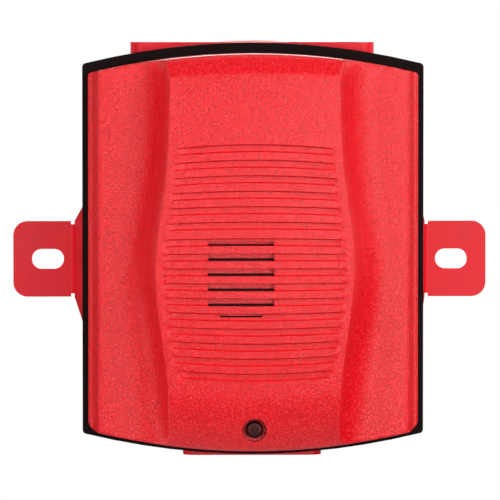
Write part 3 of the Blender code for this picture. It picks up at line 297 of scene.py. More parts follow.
class Nodes:
    """Short ways to add nodes to one material."""

    def __init__(self, material):
        self.tree = material.node_tree
        self.place = self.tree.nodes.new("ShaderNodeTexCoord").outputs["Object"]

    def link(self, source, target):
        self.tree.links.new(source, target)

    def noise(self, size, detail=2.0, roughness=0.5, stretch=None):
        """Noise whose patches are about that size, in metres; stretch is a scale and a rotation."""
        node = self.tree.nodes.new("ShaderNodeTexNoise")
        node.inputs["Scale"].default_value = 1 / size
        node.inputs["Detail"].default_value = detail
        node.inputs["Roughness"].default_value = roughness
        source = self.place
        if stretch:
            mapping = self.tree.nodes.new("ShaderNodeMapping")
            mapping.inputs["Scale"].default_value = stretch[0]
            mapping.inputs["Rotation"].default_value = [math.radians(a) for a in stretch[1]]
            self.link(source, mapping.inputs["Vector"])
            source = mapping.outputs["Vector"]
        self.link(source, node.inputs["Vector"])
        return node.outputs["Fac"]

    def remap(self, value, low, high, to_low=0.0, to_high=1.0):
        node = self.tree.nodes.new("ShaderNodeMapRange")
        node.inputs["From Min"].default_value = low
        node.inputs["From Max"].default_value = high
        node.inputs["To Min"].default_value = to_low
        node.inputs["To Max"].default_value = to_high
        self.link(value, node.inputs["Value"])
        return node.outputs["Result"]

    def math(self, operation, a, b):
        node = self.tree.nodes.new("ShaderNodeMath")
        node.operation = operation
        for socket, value in zip(node.inputs, (a, b)):
            if isinstance(value, (int, float)):
                socket.default_value = value
            else:
                self.link(value, socket)
        return node.outputs["Value"]

    def mix(self, factor, colour_a, colour_b):
        node = self.tree.nodes.new("ShaderNodeMix")
        node.data_type = "RGBA"
        self.link(factor, node.inputs["Factor"])
        sockets = [s for s in node.inputs if s.type == "RGBA"]
        for socket, colour in zip(sockets, (colour_a, colour_b)):
            if isinstance(colour, tuple):
                socket.default_value = (*colour, 1.0)
            else:
                self.link(colour, socket)
        return next(s for s in node.outputs if s.type == "RGBA")

    def bump(self, height, distance):
        node = self.tree.nodes.new("ShaderNodeBump")
        node.inputs["Distance"].default_value = distance
        self.link(height, node.inputs["Height"])
        return node.outputs["Normal"]


def red_plastic():
    """Moulded plastic with a fine leathery grain, with painted shade in its pits and painted glints on its
    high points.
    """
    material, shader = principled("red_plastic", (0.80, 0.003, 0.011), 0.34, specular=0.4)
    nodes = Nodes(material)
    grain = nodes.noise(0.0005, detail=2.5, roughness=0.6)
    cloud = nodes.noise(0.02, detail=2.0)
    tone = nodes.mix(nodes.remap(cloud, 0.35, 0.65), (0.82, 0.0015, 0.008), (0.86, 0.002, 0.010))
    # Painted shade: the colour is darker where the grain dips, as if those pits were in shadow.
    painted_pit_shade = nodes.mix(nodes.remap(grain, 0.51, 0.38), tone, (0.50, 0.001, 0.005))
    # Painted highlight: pale specks on the grain's high points stand in for glints of light.
    glint = nodes.remap(grain, 0.54, 0.65)
    nodes.link(nodes.mix(glint, painted_pit_shade, (0.94, 0.050, 0.060)), shader.inputs["Base Color"])
    nodes.link(nodes.remap(grain, 0.35, 0.65, 0.34, 0.22), shader.inputs["Roughness"])
    nodes.link(nodes.bump(grain, 0.00020), shader.inputs["Normal"])
    return material


def red_paint():
    """Baked paint on steel: slightly wavy, with a few fine scratches."""
    material, shader = principled("red_paint", (0.78, 0.004, 0.017), 0.38, specular=0.3)
    nodes = Nodes(material)
    peel = nodes.noise(0.0012, detail=2.0)
    cloud = nodes.noise(0.015, detail=3.0)
    scratch = nodes.noise(0.004, detail=5.0, roughness=0.7, stretch=((22.0, 1.0, 1.0), (0, 52, 0)))
    line = nodes.remap(scratch, 0.70, 0.76)
    tone = nodes.mix(nodes.remap(cloud, 0.35, 0.65), (0.75, 0.004, 0.015), (0.80, 0.005, 0.019))
    nodes.link(nodes.mix(line, tone, (0.85, 0.12, 0.14)), shader.inputs["Base Color"])
    nodes.link(nodes.remap(cloud, 0.3, 0.7, 0.34, 0.42), shader.inputs["Roughness"])
    nodes.link(nodes.bump(peel, 0.00003), shader.inputs["Normal"])
    return material


def moulded(name, colour, roughness, grain_size=0.0006, grain_height=0.00002, lift=1.5, specular=0.4):
    """A plastic, rubber or ceramic with a fine grain and slightly uneven colour."""
    material, shader = principled(name, colour, roughness, specular=specular)
    nodes = Nodes(material)
    grain = nodes.noise(grain_size, detail=2.0)
    cloud = nodes.noise(0.008, detail=3.0)
    paler = tuple(min(1.0, c * lift) for c in colour)
    nodes.link(nodes.mix(nodes.remap(cloud, 0.3, 0.75), colour, paler), shader.inputs["Base Color"])
    nodes.link(nodes.remap(cloud, 0.3, 0.7, roughness - 0.06, roughness + 0.06), shader.inputs["Roughness"])
    nodes.link(nodes.bump(grain, grain_height), shader.inputs["Normal"])
    return material


def metal(name, colour, roughness):
    """Plated metal with fine drawing lines and a faint patina."""
    material, shader = principled(name, colour, roughness, metallic=1.0)
    nodes = Nodes(material)
    cloud = nodes.noise(0.003, detail=4.0)
    lines = nodes.noise(0.0012, detail=3.0, stretch=((1.0, 1.0, 14.0), (0, 0, 0)))
    darker = tuple(c * 0.72 for c in colour)
    nodes.link(nodes.mix(nodes.remap(cloud, 0.4, 0.7), colour, darker), shader.inputs["Base Color"])
    nodes.link(nodes.remap(lines, 0.3, 0.7, roughness - 0.08, roughness + 0.1), shader.inputs["Roughness"])
    nodes.link(nodes.bump(lines, 0.000008), shader.inputs["Normal"])
    return material


def circuit_lacquer():
    """Green solder mask over copper tracks, which show as slightly paler lines."""
    material, shader = principled("board_green", (0.015, 0.14, 0.05), 0.35)
    nodes = Nodes(material)
    tracks = nodes.noise(0.005, detail=0.0, stretch=((1.0, 1.0, 3.0), (0, 0, 0)))
    line = nodes.remap(nodes.math("PINGPONG", tracks, 0.05), 0.020, 0.026)
    nodes.link(nodes.mix(line, (0.012, 0.11, 0.04), (0.03, 0.22, 0.08)), shader.inputs["Base Color"])
    nodes.link(nodes.bump(line, 0.00003), shader.inputs["Normal"])
    return material


# ---------------------------------------------------------------- the housing's surface
def soft_min(a, b, blend):
    overlap = max(blend - abs(a - b), 0.0) / blend
    return min(a, b) - overlap * overlap * blend / 4


def clamp(value, low=0.0, high=1.0):
    return min(max(value, low), high)


def smooth_step(t):
    t = clamp(t)
    return t * t * (3 - 2 * t)


def rounding(distance, radius):
    """How far a rounded edge has dropped at that distance from the outline."""
    into = radius - clamp(distance, 0.0, radius)
    return radius - math.sqrt(radius**2 - into**2)


def height_of(level, x):
    """Height of the point of a row at x: rows bow like the top and bottom edges near those edges."""
    bow = clamp((level - BOW_MIDDLE_Z) / BOW_REACH, -1.0, 1.0)
    corner = TOP_CORNER if level > 0 else BOTTOM_CORNER
    near_edge = clamp((abs(level) - (HALF_HEIGHT - CORNER_REACH)) / CORNER_REACH)
    drop = rounding(HALF_WIDTH - abs(x), corner) * near_edge
    return level - bow * x * x / (2 * BOW_RADIUS) - math.copysign(drop, level)


def panel_half_width(level):
    return PANEL_HALF_WIDTH + PANEL_BULGE * math.exp(-(((level - BULGE_Z) / BULGE_REACH) ** 2))


def crown(level):
    return PANEL_DEPTH - (level - CROWN_Z) ** 2 / (2 * CROWN_RADIUS)


def spine(level):
    """Depth of the raised panel along its middle, without the slope at its top."""
    if level >= ROLL_START_Z:
        return crown(level)
    lean = (CROWN_Z - ROLL_START_Z) / CROWN_RADIUS
    lean_here = min(0.95, lean + (ROLL_START_Z - level) / ROLL_RADIUS)
    fall = math.sqrt(1 - lean**2) - math.sqrt(1 - lean_here**2)
    return crown(ROLL_START_Z) - ROLL_RADIUS * fall


def panel_surface(x, level):
    """Depth of the raised panel, with its slope at the top."""
    top_slope = crown(CREASE_Z) - TOP_SLOPE * (level - CREASE_Z)
    return soft_min(spine(level), top_slope, CREASE_BLEND) - x * x / (2 * CROSS_RADIUS)


def cove_end_x(level):
    """Where the hollow curve at the foot of a side wall becomes the flat wing."""
    w = panel_half_width(level)
    rise = spine(level) - w * w / (2 * CROSS_RADIUS) - WING_DEPTH
    return w + rise * WALL_SLOPE + COVE_RADIUS * math.tan(WALL_LEAN / 2)


def wing_surface(x):
    """A side wing: flat, then slightly crowned, then falling steeply to the outer lip."""
    crowned = WING_DEPTH - WING_FALL * max(0.0, (x - WING_CROWN) / (WING_SHOULDER - WING_CROWN)) ** 2
    t = clamp((x - WING_SHOULDER) / (LIP_START - WING_SHOULDER))
    fall = t * t * (2.2 - 1.2 * t)
    return crowned + (LIP_DEPTH - crowned) * fall - LIP_SLOPE * max(0.0, x - LIP_START)


def side_surface(x, level, inset):
    """A side wall of the panel and its wing, with a wide hollow curve between them."""
    w = panel_half_width(level)
    edge_depth = spine(level) - w * w / (2 * CROSS_RADIUS)
    wall = edge_depth - (x - w + inset * math.hypot(1, WALL_SLOPE)) / WALL_SLOPE
    wing = wing_surface(x + inset) - inset
    radius = COVE_RADIUS + inset
    from_end = max(0.0, cove_end_x(level) - x)
    if from_end < radius * math.sin(WALL_LEAN):
        return wing + radius - math.sqrt(radius**2 - from_end**2)
    return max(wall, wing)


def groove_centre(index):
    """Height of a groove's middle: the upper set is spaced a little wider than the lower."""
    if index < UPPER_GROOVES:
        return GROOVE_TOP_Z - index * UPPER_PITCH - GROOVE_HEIGHT / 2
    return LOWER_TOP_Z - (index - UPPER_GROOVES) * LOWER_PITCH - GROOVE_HEIGHT / 2


def groove_sink(x, level):
    """How deep the grooves are there: sloped walls, and a floor that rises at both ends."""
    index = min(range(GROOVE_COUNT), key=lambda i: abs(level - groove_centre(i)))
    centre = groove_centre(index)
    across = clamp((GROOVE_HEIGHT / 2 - abs(level - centre)) / GROOVE_WALL)
    inset = GROOVE_INSET + (LAST_GROOVE_INSET if index == GROOVE_COUNT - 1 else 0.0)
    reach = panel_half_width(centre) - inset
    return GROOVE_SINK * across * clamp((reach - x) / GROOVE_RAMP)


def outer_skin(x, level):
    x = abs(x)
    panel = panel_surface(x, level) - groove_sink(x, level)
    depth = soft_min(panel, side_surface(x, level, 0.0), EDGE_BLEND)
    beside_panel = smooth_step((x - panel_half_width(level)) / END_BLEND)
    depth -= rounding(HALF_HEIGHT - abs(level), END_RADIUS + END_RADIUS_ADDED * (1 - beside_panel))
    return depth - rounding(HALF_WIDTH - x, EDGE_RADIUS)


def inner_skin(x, level):
    x = abs(x)
    depth = soft_min(panel_surface(x, level) - SKIN, side_surface(x, level, SKIN), INNER_BLEND)
    return max(depth, LEAST_HOLLOW)


def steps_between(start, end, count):
    return [start + (end - start) * i / count for i in range(count + 1)]


def outer_columns(level):
    """Places along x, closer together where the section turns."""
    w, cove_end = panel_half_width(level), cove_end_x(level)
    near_edge, at_edge = 0.0012, 0.0009
    ramp_start = w - GROOVE_INSET - LAST_GROOVE_INSET - GROOVE_RAMP
    places = steps_between(0, ramp_start, 9) + steps_between(ramp_start, w - near_edge, 10)[1:]
    cove_start = max(w + near_edge, cove_end - COVE_RADIUS * math.sin(WALL_LEAN))
    turn = math.asin((cove_end - cove_start) / COVE_RADIUS)
    places += steps_between(w - at_edge, w + at_edge, 9) + steps_between(w + at_edge, cove_start, 2)[1:]
    places += [cove_end - COVE_RADIUS * math.sin(angle) for angle in steps_between(turn, 0, 24)[1:]]
    places += steps_between(cove_end, WING_SHOULDER, 6)[1:]
    places += steps_between(WING_SHOULDER, LIP_START, 10)[1:]
    places += [LIP_START + 0.0004, HALF_WIDTH - EDGE_RADIUS]
    places += [HALF_WIDTH - EDGE_RADIUS * (1 - math.sin(math.radians(a))) for a in (18, 36, 54, 72, 90)]
    return places


def inner_columns(level):
    """The same for the hollow inside, whose section turns nearer the middle."""
    w, edge = panel_half_width(level) - SKIN, HALF_WIDTH - SKIN
    places = steps_between(0, w - 0.0015, 4) + steps_between(w - 0.0010, w + 0.0020, 5)
    places += steps_between(w + 0.0020, cove_end_x(level) - SKIN / 2, 9)[1:]
    return places + [edge - 0.0055] + steps_between(edge - 0.0042, edge, 8)


def outer_levels():
    """Row heights: close together at both edges and at the crease, and on every groove's edges."""
    near_edge = [0.0, 0.00004, 0.00015, 0.00034, 0.0006, 0.0010, 0.0014, 0.0020]
    levels = [HALF_HEIGHT - d for d in near_edge] + [d - HALF_HEIGHT for d in near_edge]
    levels += steps_between(CREASE_Z - 0.0008, CREASE_Z + 0.0008, 6)
    for index in range(GROOVE_COUNT):
        centre, half = groove_centre(index), GROOVE_HEIGHT / 2
        floor = half - GROOVE_WALL
        levels += [centre + share for share in (half, floor, 0.0, -floor, -half, -LOWER_PITCH / 2)]
    levels += steps_between(GROOVE_TOP_Z + 0.0014, CREASE_Z - 0.0016, 17)
    levels += steps_between(CREASE_Z + 0.0016, HALF_HEIGHT - 0.0027, 3)
    levels += steps_between(groove_centre(GROOVE_COUNT - 1) - 0.0040, -HALF_HEIGHT + 0.0027, 22)
    return sorted(levels, reverse=True)


def closed_form(name, skin, columns, levels, scale, rear):
    """A solid whose front is that skin, with straight sides back to a flat rear."""
    bm = bmesh.new()
    rows = []
    for level in levels:
        right = columns(level)
        places = [-x for x in right[:0:-1]] + right
        rows.append([bm.verts.new(at(x, BASE_DEPTH + skin(x, level), height_of(level, x) * scale))
                     for x in places])
    for upper, lower in zip(rows, rows[1:]):
        for i in range(len(upper) - 1):
            bm.faces.new((upper[i], lower[i], lower[i + 1], upper[i + 1]))
    border = rows[0] + [row[-1] for row in rows[1:]]
    border += rows[-1][-2::-1] + [row[0] for row in rows[-2:0:-1]]
    rim = [bm.verts.new((v.co.x, -rear, v.co.z)) for v in border]
    for i in range(len(border)):
        bm.faces.new((border[i - 1], border[i], rim[i], rim[i - 1]))
    bm.faces.new(rim)
    bmesh.ops.recalc_face_normals(bm, faces=bm.faces)
    return add_object(name, bm)


def barrel_outline(offset, ends, steps=40):
    """The raised panel's outline between two heights, moved sideways by the offset."""
    right = [(panel_half_width(z) + offset, z) for z in steps_between(ends[0], ends[1], steps)]
    return right + [(-x, z) for x, z in reversed(right)]


def slot_box(index):
    """The hole through one groove's floor: the first and last slots fill only part of theirs."""
    centre, half = groove_centre(index), GROOVE_HEIGHT / 2 - 0.0001
    low = centre if index == LAST_SLOT else centre - half
    high = centre + 0.0003 if index == FIRST_SLOT else centre + half
    width = LAST_SLOT_HALF_WIDTH if index == LAST_SLOT else SLOT_HALF_WIDTH
    return block(f"slot_{index}", (SLOT_X - width, SLOT_X + width), (RIB_DEPTH, BEYOND), (low, high))


def make_hollow():
    """The space inside the housing: its inner form less the walls and posts that stand in it."""
    levels = steps_between(HALF_HEIGHT, 0.058, 6) + steps_between(0.055, -0.048, 30)
    levels += steps_between(-0.050, -HALF_HEIGHT, 12)
    hollow = closed_form("hollow", inner_skin, inner_columns, levels, (HALF_HEIGHT - SKIN) / HALF_HEIGHT,
                         BASE_DEPTH - 0.001)
    outside, inside = [barrel_outline(offset, (COVER_ENDS[0] - inset, COVER_ENDS[1] + inset))
                       for offset, inset in SEAL_WALL]
    seal_wall = cut(prism("seal_wall", outside, (SEAL_FRONT, BEYOND)),
                    prism("inside_wall", inside, (BEHIND, FAR_BEYOND)))
    posts = [peg(f"post_{i}", POST_RADIUS, (BOARD_FRONT, BEYOND), place) for i, place in enumerate(POSTS)]
    necks = [peg(f"pilot_{i}", NECK_RADIUS, (COVER_FRONT, BEYOND), place) for i, place in enumerate(POSTS)]
    rib = cut(peg("rib", RIB_RADII[1], (RIB_DEPTH, BEYOND), (SLOT_X, SOUNDER_Z), 96),
              peg("rib_inside", RIB_RADII[0], (BEHIND, FAR_BEYOND), (SLOT_X, SOUNDER_Z), 96))
    tube = peg("tube", TUBE_RADIUS, (RECESS_FLOORS[0], BEYOND), (0, SCREW_Z))
    return cut(hollow, seal_wall, *posts, *necks, rib, tube)


def make_housing():
    """The moulded shell: its outer form less the hollow, the slots, the recess and the screw holes."""
    hollow = make_hollow()
    housing = closed_form("housing", outer_skin, outer_columns, outer_levels(), 1.0, BASE_DEPTH)
    holes = [peg(f"hole_{i}", POST_HOLE, (BEHIND, POST_HOLE_END), place, 24) for i, place in enumerate(POSTS)]
    return cut(housing, hollow, *[slot_box(i) for i in range(FIRST_SLOT, LAST_SLOT + 1)],
               peg("recess", RECESS_RADIUS, (RECESS_FLOORS[1], BEYOND), (0, SCREW_Z), 96),
               peg("shank_hole", SHANK_HOLE, (BEHIND, SHANK_HOLE_END), (0, SCREW_Z)), *holes)


# ---------------------------------------------------------------- steel pieces and fasteners
def thread(radius, start, end, pitch, depth):
    """(radius, height) points of a screw thread's ridges, from one height to another."""
    count = max(1, int(abs(end - start) / pitch))
    step = (end - start) / count
    points = []
    for i in range(count):
        here = start + i * step
        points += [(radius - depth, here), (radius, here + 0.42 * step), (radius, here + 0.58 * step)]
    return points + [(radius - depth, end)]


def make_screw(name, place, facing, head, shank, head_depths, tip_depth, recess="cross", pitch=0.0006):
    """A domed head with a driver recess, and a threaded shank with a chamfered tip."""
    x, z = place
    low, high = head_depths
    under_head = low if facing == FRONT else high
    length, tall = abs(under_head - tip_depth), high - low
    dome = [(0, tall), (head * 0.55, tall * 0.985), (head * 0.80, tall * 0.86), (head * 0.94, tall * 0.62),
            (head, tall * 0.3), (head, tall * 0.06), (head * 0.985, 0)]
    ridges = thread(shank, -0.0005, -length + shank * 0.6, pitch, shank * 0.16)
    profile = dome + [(shank, 0), (shank, -0.0004)] + ridges + [(shank * 0.45, -length), (0, -length)]
    screw = turned(name, profile, at(x, under_head, z), facing, 48)
    deep = tall * 0.55
    depths = (high - deep, high + 0.001) if facing == FRONT else (low + deep, low - 0.001)
    cross_arms = [(head * 0.62, head * 0.13), (head * 0.13, head * 0.62)]
    for half_x, half_z in cross_arms if recess == "cross" else [(head * 1.1, head * 0.115)]:
        cut(screw, block(f"{name}_recess", (x - half_x, x + half_x), depths, (z - half_z, z + half_z)))
    return screw


def make_captive_screw():
    """A tamper-resistant screw: a hexagon socket with a pin left standing in it."""
    base, front, tip, head, shank = 0.0747, 0.0775, 0.0595, 0.00305, 0.00175
    neck, neck_end, tip_radius, thread_depth = shank - 0.0002, -0.0075, 0.0009, 0.0003
    tall, length = front - base, base - tip
    profile = [(0, tall), (0.0022, tall), (0.0027, tall - 0.00015), (0.0030, tall - 0.0005),
               (head, tall - 0.0009), (head, 0.0002), (head - 0.0002, 0), (neck, 0), (neck, neck_end)]
    profile += thread(shank, neck_end - 0.0002, -length + 0.0009, CAPTIVE_PITCH, thread_depth)
    profile += [(tip_radius, -length), (0, -length)]
    screw = turned("captive_screw_fine", profile, at(0, base, SCREW_Z), FRONT, 64)
    socket = peg("socket", 0.0015, (front - 0.0016, front + 0.001), (0, SCREW_Z), 6)
    pin = peg("socket_pin", 0.00055, (front - 0.003, front - 0.0002), (0, SCREW_Z), 24)
    return cut(screw, cut(socket, pin))


def make_rivet(side, z):
    """A flush rivet with a countersunk head and a dished tail inside the box."""
    head, tail, neck = RIVET_HEAD_X, RIVET_TAIL_X, 0.0016
    profile = [(0, head - 0.00012), (0.0027, head), (0.0030, head - 0.0001), (0.0031, head - 0.0003),
               (neck, head - 0.0015), (neck, tail), (0.0026, tail), (0.0028, tail - 0.0002),
               (0.0027, tail - 0.0009), (0.0020, tail - 0.0011), (0.0012, tail - 0.0007), (0, tail - 0.0006)]
    return turned("rivet_fine", profile, at(0, sum(LEG_DEPTHS) / 2, z), Vector((side, 0, 0)), 48)


def make_conduit_plug():
    """A threaded pipe plug with a chamfered rim and a hexagon socket."""
    radius, low = PLUG_RADIUS, PLUG_TOP - PLUG_LENGTH
    profile = [(0, PLUG_TOP), (radius - 0.0010, PLUG_TOP), (radius - 0.0002, PLUG_TOP - 0.0008)]
    profile += thread(radius, PLUG_TOP - 0.0010, low + 0.0010, CONDUIT_PITCH, 0.0006)
    profile += [(radius - 0.0012, low), (0, low)]
    plug = turned("conduit_plug_fine", profile, at(0, CONDUIT_DEPTH, 0), UP, 96)
    socket_radius, socket_depth = PLUG_SOCKET
    socket = rod("plug_socket", socket_radius, at(0, CONDUIT_DEPTH, PLUG_TOP - socket_depth),
                 at(0, CONDUIT_DEPTH, PLUG_TOP + 0.001), 6)
    return cut(plug, socket)


def make_bracket(side):
    """Bent sheet steel: a riveted leg that spreads to a slotted tab lying on the wall."""
    low, high = LEG_DEPTHS
    outer_front, outer_rear = LEG_FRONT_X + SHEET, LEG_REAR_X + SHEET
    section = [(LEG_FRONT_X, high, 0), (LEG_FRONT_X, low, LEG_BEND), (LEG_REAR_X, SHEET, 0),
               (LEG_REAR_X, 0, TAB_BENDS[0]), (TAB_END_X, 0, 0), (TAB_END_X, SHEET, 0),
               (outer_rear, SHEET, TAB_BENDS[1]), (outer_front, low, LEG_BEND), (outer_front, high, 0)]
    bracket = extruded("bracket_fine", [(side * x, d) for x, d in filleted(section)],
                       (TAB_Z - 0.03, TAB_Z + 0.03), lambda x, depth, z: at(x, depth, z))
    half, leg, bend = TAB_HEIGHT / 2, LEG_HEIGHT / 2, outer_rear + 0.0008
    in_box, outside, in_wall, in_front = 0.05, 0.09, -0.001, 0.06  # places clear of the bracket
    face = filleted([(bend, -leg, 0), (bend, -half, 0), (TAB_END_X, -half, TAB_CORNER),
                     (TAB_END_X, half, TAB_CORNER), (bend, half, 0), (bend, leg, 0), (in_box, leg, 0),
                     (in_box, -leg, 0)], 10)
    from_side = [(in_wall, -half), (0.003, -half), (high, -leg), (in_front, -leg),
                 (in_front, leg), (high, leg), (0.003, half), (in_wall, half)]
    shapes = [prism("keep_face", [(side * x, TAB_Z + z) for x, z in face], (in_wall, in_front)),
              extruded("keep_side", from_side, sorted((side * in_box, side * outside)),
                       lambda depth, z, x: at(x, depth, TAB_Z + z))]
    for shape in shapes:
        boolean(bracket, "INTERSECT", [shape])
    cut(bracket, *bracket_tools(side, half, outer_rear))
    return soften(bracket, 0.00025)


def bracket_tools(side, half, fold_x):
    """What is cut from a bracket: the tab's slot, a relief at each end of its fold, the rivet holes."""
    reach, across = TAB_SLOT_HALF_LENGTH, TAB_SLOT_HALF_WIDTH
    slot = filleted([(TAB_SLOT_X + sx * reach, TAB_Z + sz * across, across - 0.0001)
                     for sx, sz in ((-1, -1), (1, -1), (1, 1), (-1, 1))], 10)
    tools = [prism("tab_slot", [(side * x, z) for x, z in slot], (-0.001, 0.004))]
    for edge in (-half, half):
        ends = [TAB_Z + z + math.copysign(0.0002, edge) for z in sorted((edge, edge * 0.9))]
        tools.append(block("relief", (side * RELIEF_X, side * (fold_x + 0.0012)), (-0.001, 0.0035), ends))
    for z in (RIVET_Z, -RIVET_Z):
        tools.append(turned("rivet_sink", RIVET_SINK, at(0, sum(LEG_DEPTHS) / 2, TAB_Z + z),
                            Vector((side, 0, 0)), 48))
    return tools


def make_tone_selector():
    """A knob with a knurled rim, a driver slot and a pointer groove, read from the rear."""
    rear, height, rim, stem = 0.0668, 0.0087, 0.0036, 0.0014
    under_rim = height - 0.0026
    profile = [(0, height), (rim - 0.0004, height), (rim, height - 0.0003), (rim, height - 0.0024),
               (rim - 0.0003, under_rim), (stem, under_rim), (stem, 0.0002), (stem - 0.0002, 0), (0, 0)]
    knob = turned("tone_selector_fine", profile, at(SELECTOR_X, rear + height, SELECTOR_Z), REAR, 72)
    tools = [block("dial_slot", (SELECTOR_X - 0.0005, SELECTOR_X + 0.0005), (BEHIND, rear + 0.0011),
                   (SELECTOR_Z - 0.0027, SELECTOR_Z + 0.0027)),
             block("dial_mark", (SELECTOR_X - 0.0003, SELECTOR_X + 0.0003), (BEHIND, rear + 0.0005),
                   (SELECTOR_Z + 0.0026, SELECTOR_Z + 0.0045))]
    for i in range(24):
        if i != 6:  # the pointer groove is there
            angle, reach = math.radians(i * 15), rim + 0.00012
            place = (SELECTOR_X + reach * math.cos(angle), SELECTOR_Z + reach * math.sin(angle))
            tools.append(peg(f"knurl_{i}", 0.00022, (rear - 0.001, rear + 0.0023), place, 8))
    return cut(knob, *tools)


def make_winding():
    """Layers of enamelled wire round the inductor's core: a ridge for every turn."""
    (low, high), (inner, outer) = COIL_DEPTHS, COIL_RADII
    step = (high - low) / COIL_TURNS
    profile = [(inner, low)]
    for i in range(COIL_TURNS):
        profile += [(outer - 0.00020, low + i * step), (outer - 0.00004, low + (i + 0.22) * step),
                    (outer, low + (i + 0.5) * step), (outer - 0.00004, low + (i + 0.78) * step)]
    profile += [(outer - 0.00020, high), (inner, high), (inner, low)]
    return turned("winding_fine", profile, at(COIL_X, BOARD_FRONT, COIL_Z), FRONT, 64)


def make_capacitor(x, z, radius, length):
    """A sleeved can with a rolled crimp near its foot and a scored pressure vent on its end."""
    crimp, waist = 0.0018, radius - 0.0004
    profile = [(0, length - 0.0002), (radius * 0.78, length - 0.0002), (radius * 0.82, length),
               (radius * 0.93, length), (radius, length - 0.0005), (radius, crimp + 0.0007),
               (waist, crimp + 0.0003), (waist, crimp - 0.0003), (radius, crimp - 0.0007),
               (radius, 0.0004), (waist, 0), (0, 0)]
    can = turned("capacitor_fine", profile, at(x, BOARD_FRONT, z), FRONT, 64)
    depths = (BOARD_FRONT + length - 0.0004, BOARD_FRONT + length + 0.001)
    reach, half = radius * 0.6, 0.00015
    return cut(can, block("vent_a", (x - reach, x + reach), depths, (z - half, z + half)),
               block("vent_b", (x - half, x + half), depths, (z - reach, z + reach)))


def refined(node, width):
    """The node's own solid with its flat faces made whole and its edges rounded off."""
    bm = bmesh.new()
    bm.from_mesh(NODES[node].data)
    bmesh.ops.remove_doubles(bm, verts=bm.verts, dist=2e-6)
    bmesh.ops.dissolve_limit(bm, angle_limit=math.radians(1), verts=bm.verts, edges=bm.edges)
    return soften(add_object(f"{node}_fine", bm), width)


def make_back_box():
    """The box with softened edges and a thread in its open conduit entry."""
    below, above = CONDUIT_ENTRY
    ridges = thread(CONDUIT_RADIUS + 0.0006, below, above, CONDUIT_PITCH, 0.0008)
    tool = turned("thread_tool", [(0, below)] + ridges + [(0, above)], at(0, CONDUIT_DEPTH, 0), UP, 96)
    return even_shading(cut(refined("back_box", 0.0004), tool))


# ---------------------------------------------------------------- building
MATERIALS = {
    "red_plastic": red_plastic(),
    "red_paint": red_paint(),
    "black_rubber": moulded("black_rubber", (0.006, 0.003, 0.003), 0.70, specular=0.08),
    "black_plastic": moulded("black_plastic", (0.018, 0.018, 0.020), 0.45),
    "grey_plastic": moulded("grey_plastic", (0.50, 0.50, 0.48), 0.45, lift=1.15),
    "zinc_steel": metal("zinc_steel", (0.62, 0.62, 0.60), 0.32),
    # Painted reflection: the reddish tint of this near-black steel stands in for the red plastic reflected in
    # it.
    "dark_steel": metal("dark_steel", (0.060, 0.022, 0.020), 0.38),
    "brass": metal("brass", (0.72, 0.52, 0.22), 0.30),
    "copper": metal("copper", (0.65, 0.28, 0.14), 0.32),
    "green_paint": moulded("green_paint", (0.02, 0.30, 0.08), 0.40),
    "board_green": circuit_lacquer(),
    "white_ceramic": moulded("white_ceramic", (0.80, 0.78, 0.72), 0.50, lift=1.1),
    "ferrite": moulded("ferrite", (0.05, 0.05, 0.055), 0.55),
    "blue_sleeve": moulded("blue_sleeve", (0.03, 0.07, 0.30), 0.30),
    "black_membrane": moulded("black_membrane", (0.012, 0.012, 0.012), 0.85, grain_size=0.0004,
                              grain_height=0.00006),
}

NODE_SLOTS = {part["node"]: part["material_slot"] for part in frame["record"]["subparts"]}


def coat(obj, slot):
    obj.data.materials.clear()
    obj.data.materials.append(MATERIALS[slot])


def finish(node, piece):
    """Puts the piece in its CAD node's place: same body, same material."""
    slot = NODE_SLOTS[node]
    coat(piece, slot)
    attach(piece, NODES[node]["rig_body"])
    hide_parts(node)


for cad_node, cad_slot in NODE_SLOTS.items():
    coat(NODES[cad_node], cad_slot)


finish("front_housing", make_housing())
finish("back_box", make_back_box())
finish("captive_screw", make_captive_screw())
finish("conduit_plug", make_conduit_plug())
finish("bracket_left", make_bracket(-1))
finish("bracket_right", make_bracket(1))
RIVET_PLACES = [(side, TAB_Z + z) for side in (-1, 1) for z in (RIVET_Z, -RIVET_Z)]
for number, rivet_place in enumerate(RIVET_PLACES, 1):
    finish(f"bracket_rivet_{number}", make_rivet(*rivet_place))

for number, screw_place in enumerate(PLATE_SCREWS, 1):
    finish(f"plate_screw_{number}", make_screw(
        "plate_screw_fine", screw_place, FRONT, head=0.0038, shank=0.0019,
        head_depths=(0.0584, 0.0605), tip_depth=0.0425, pitch=COARSE_PITCH))
for number, screw_place in enumerate(POSTS, 1):
    finish(f"cover_screw_{number}", make_screw(
        "cover_screw_fine", screw_place, REAR, head=0.0024, shank=0.00105,
        head_depths=(0.0649, 0.0662), tip_depth=0.0765))
for number, screw_place in enumerate(TERMINALS, 1):
    finish(f"terminal_screw_{number}", make_screw(
        "terminal_screw_fine", screw_place, FRONT, head=0.0026, shank=0.0014,
        head_depths=(0.0639, 0.0653), tip_depth=0.0625, recess="slot"))
finish("ground_screw", make_screw(
    "ground_screw_fine", GROUND_SCREW, FRONT, head=0.0042, shank=0.0019,
    head_depths=(0.0073, 0.0098), tip_depth=0.0022, pitch=COARSE_PITCH))
finish("tone_selector", make_tone_selector())
finish("inductor_winding", make_winding())
finish("capacitor_large", make_capacitor(0.003, 0.046, radius=0.005, length=0.0105))
finish("capacitor_small", make_capacitor(-0.010, 0.049, radius=0.0032, length=0.008))

SOFT_EDGES = {
    "box_gasket": 0.0006, "mounting_plate": 0.0003, "rear_cover": 0.0003, "cover_seal": 0.0003,
    "terminal_block": 0.0003, "circuit_board": 0.0001, "slot_baffle": 0.0001, "captive_washer": 0.0001,
    "sounder_chamber": 0.0002, "disc_clamp_ring": 0.0002, "chamber_seal": 0.0002, "selector_base": 0.0003,
    "control_chip": 0.0001, "rectifier": 0.0001, "inductor_core": 0.0002, "screw_insert": 0.0001,
    **{f"terminal_clamp_{i}": 0.0002 for i in range(1, 5)},
}
for soft_node, edge_width in SOFT_EDGES.items():
    finish(soft_node, refined(soft_node, edge_width))


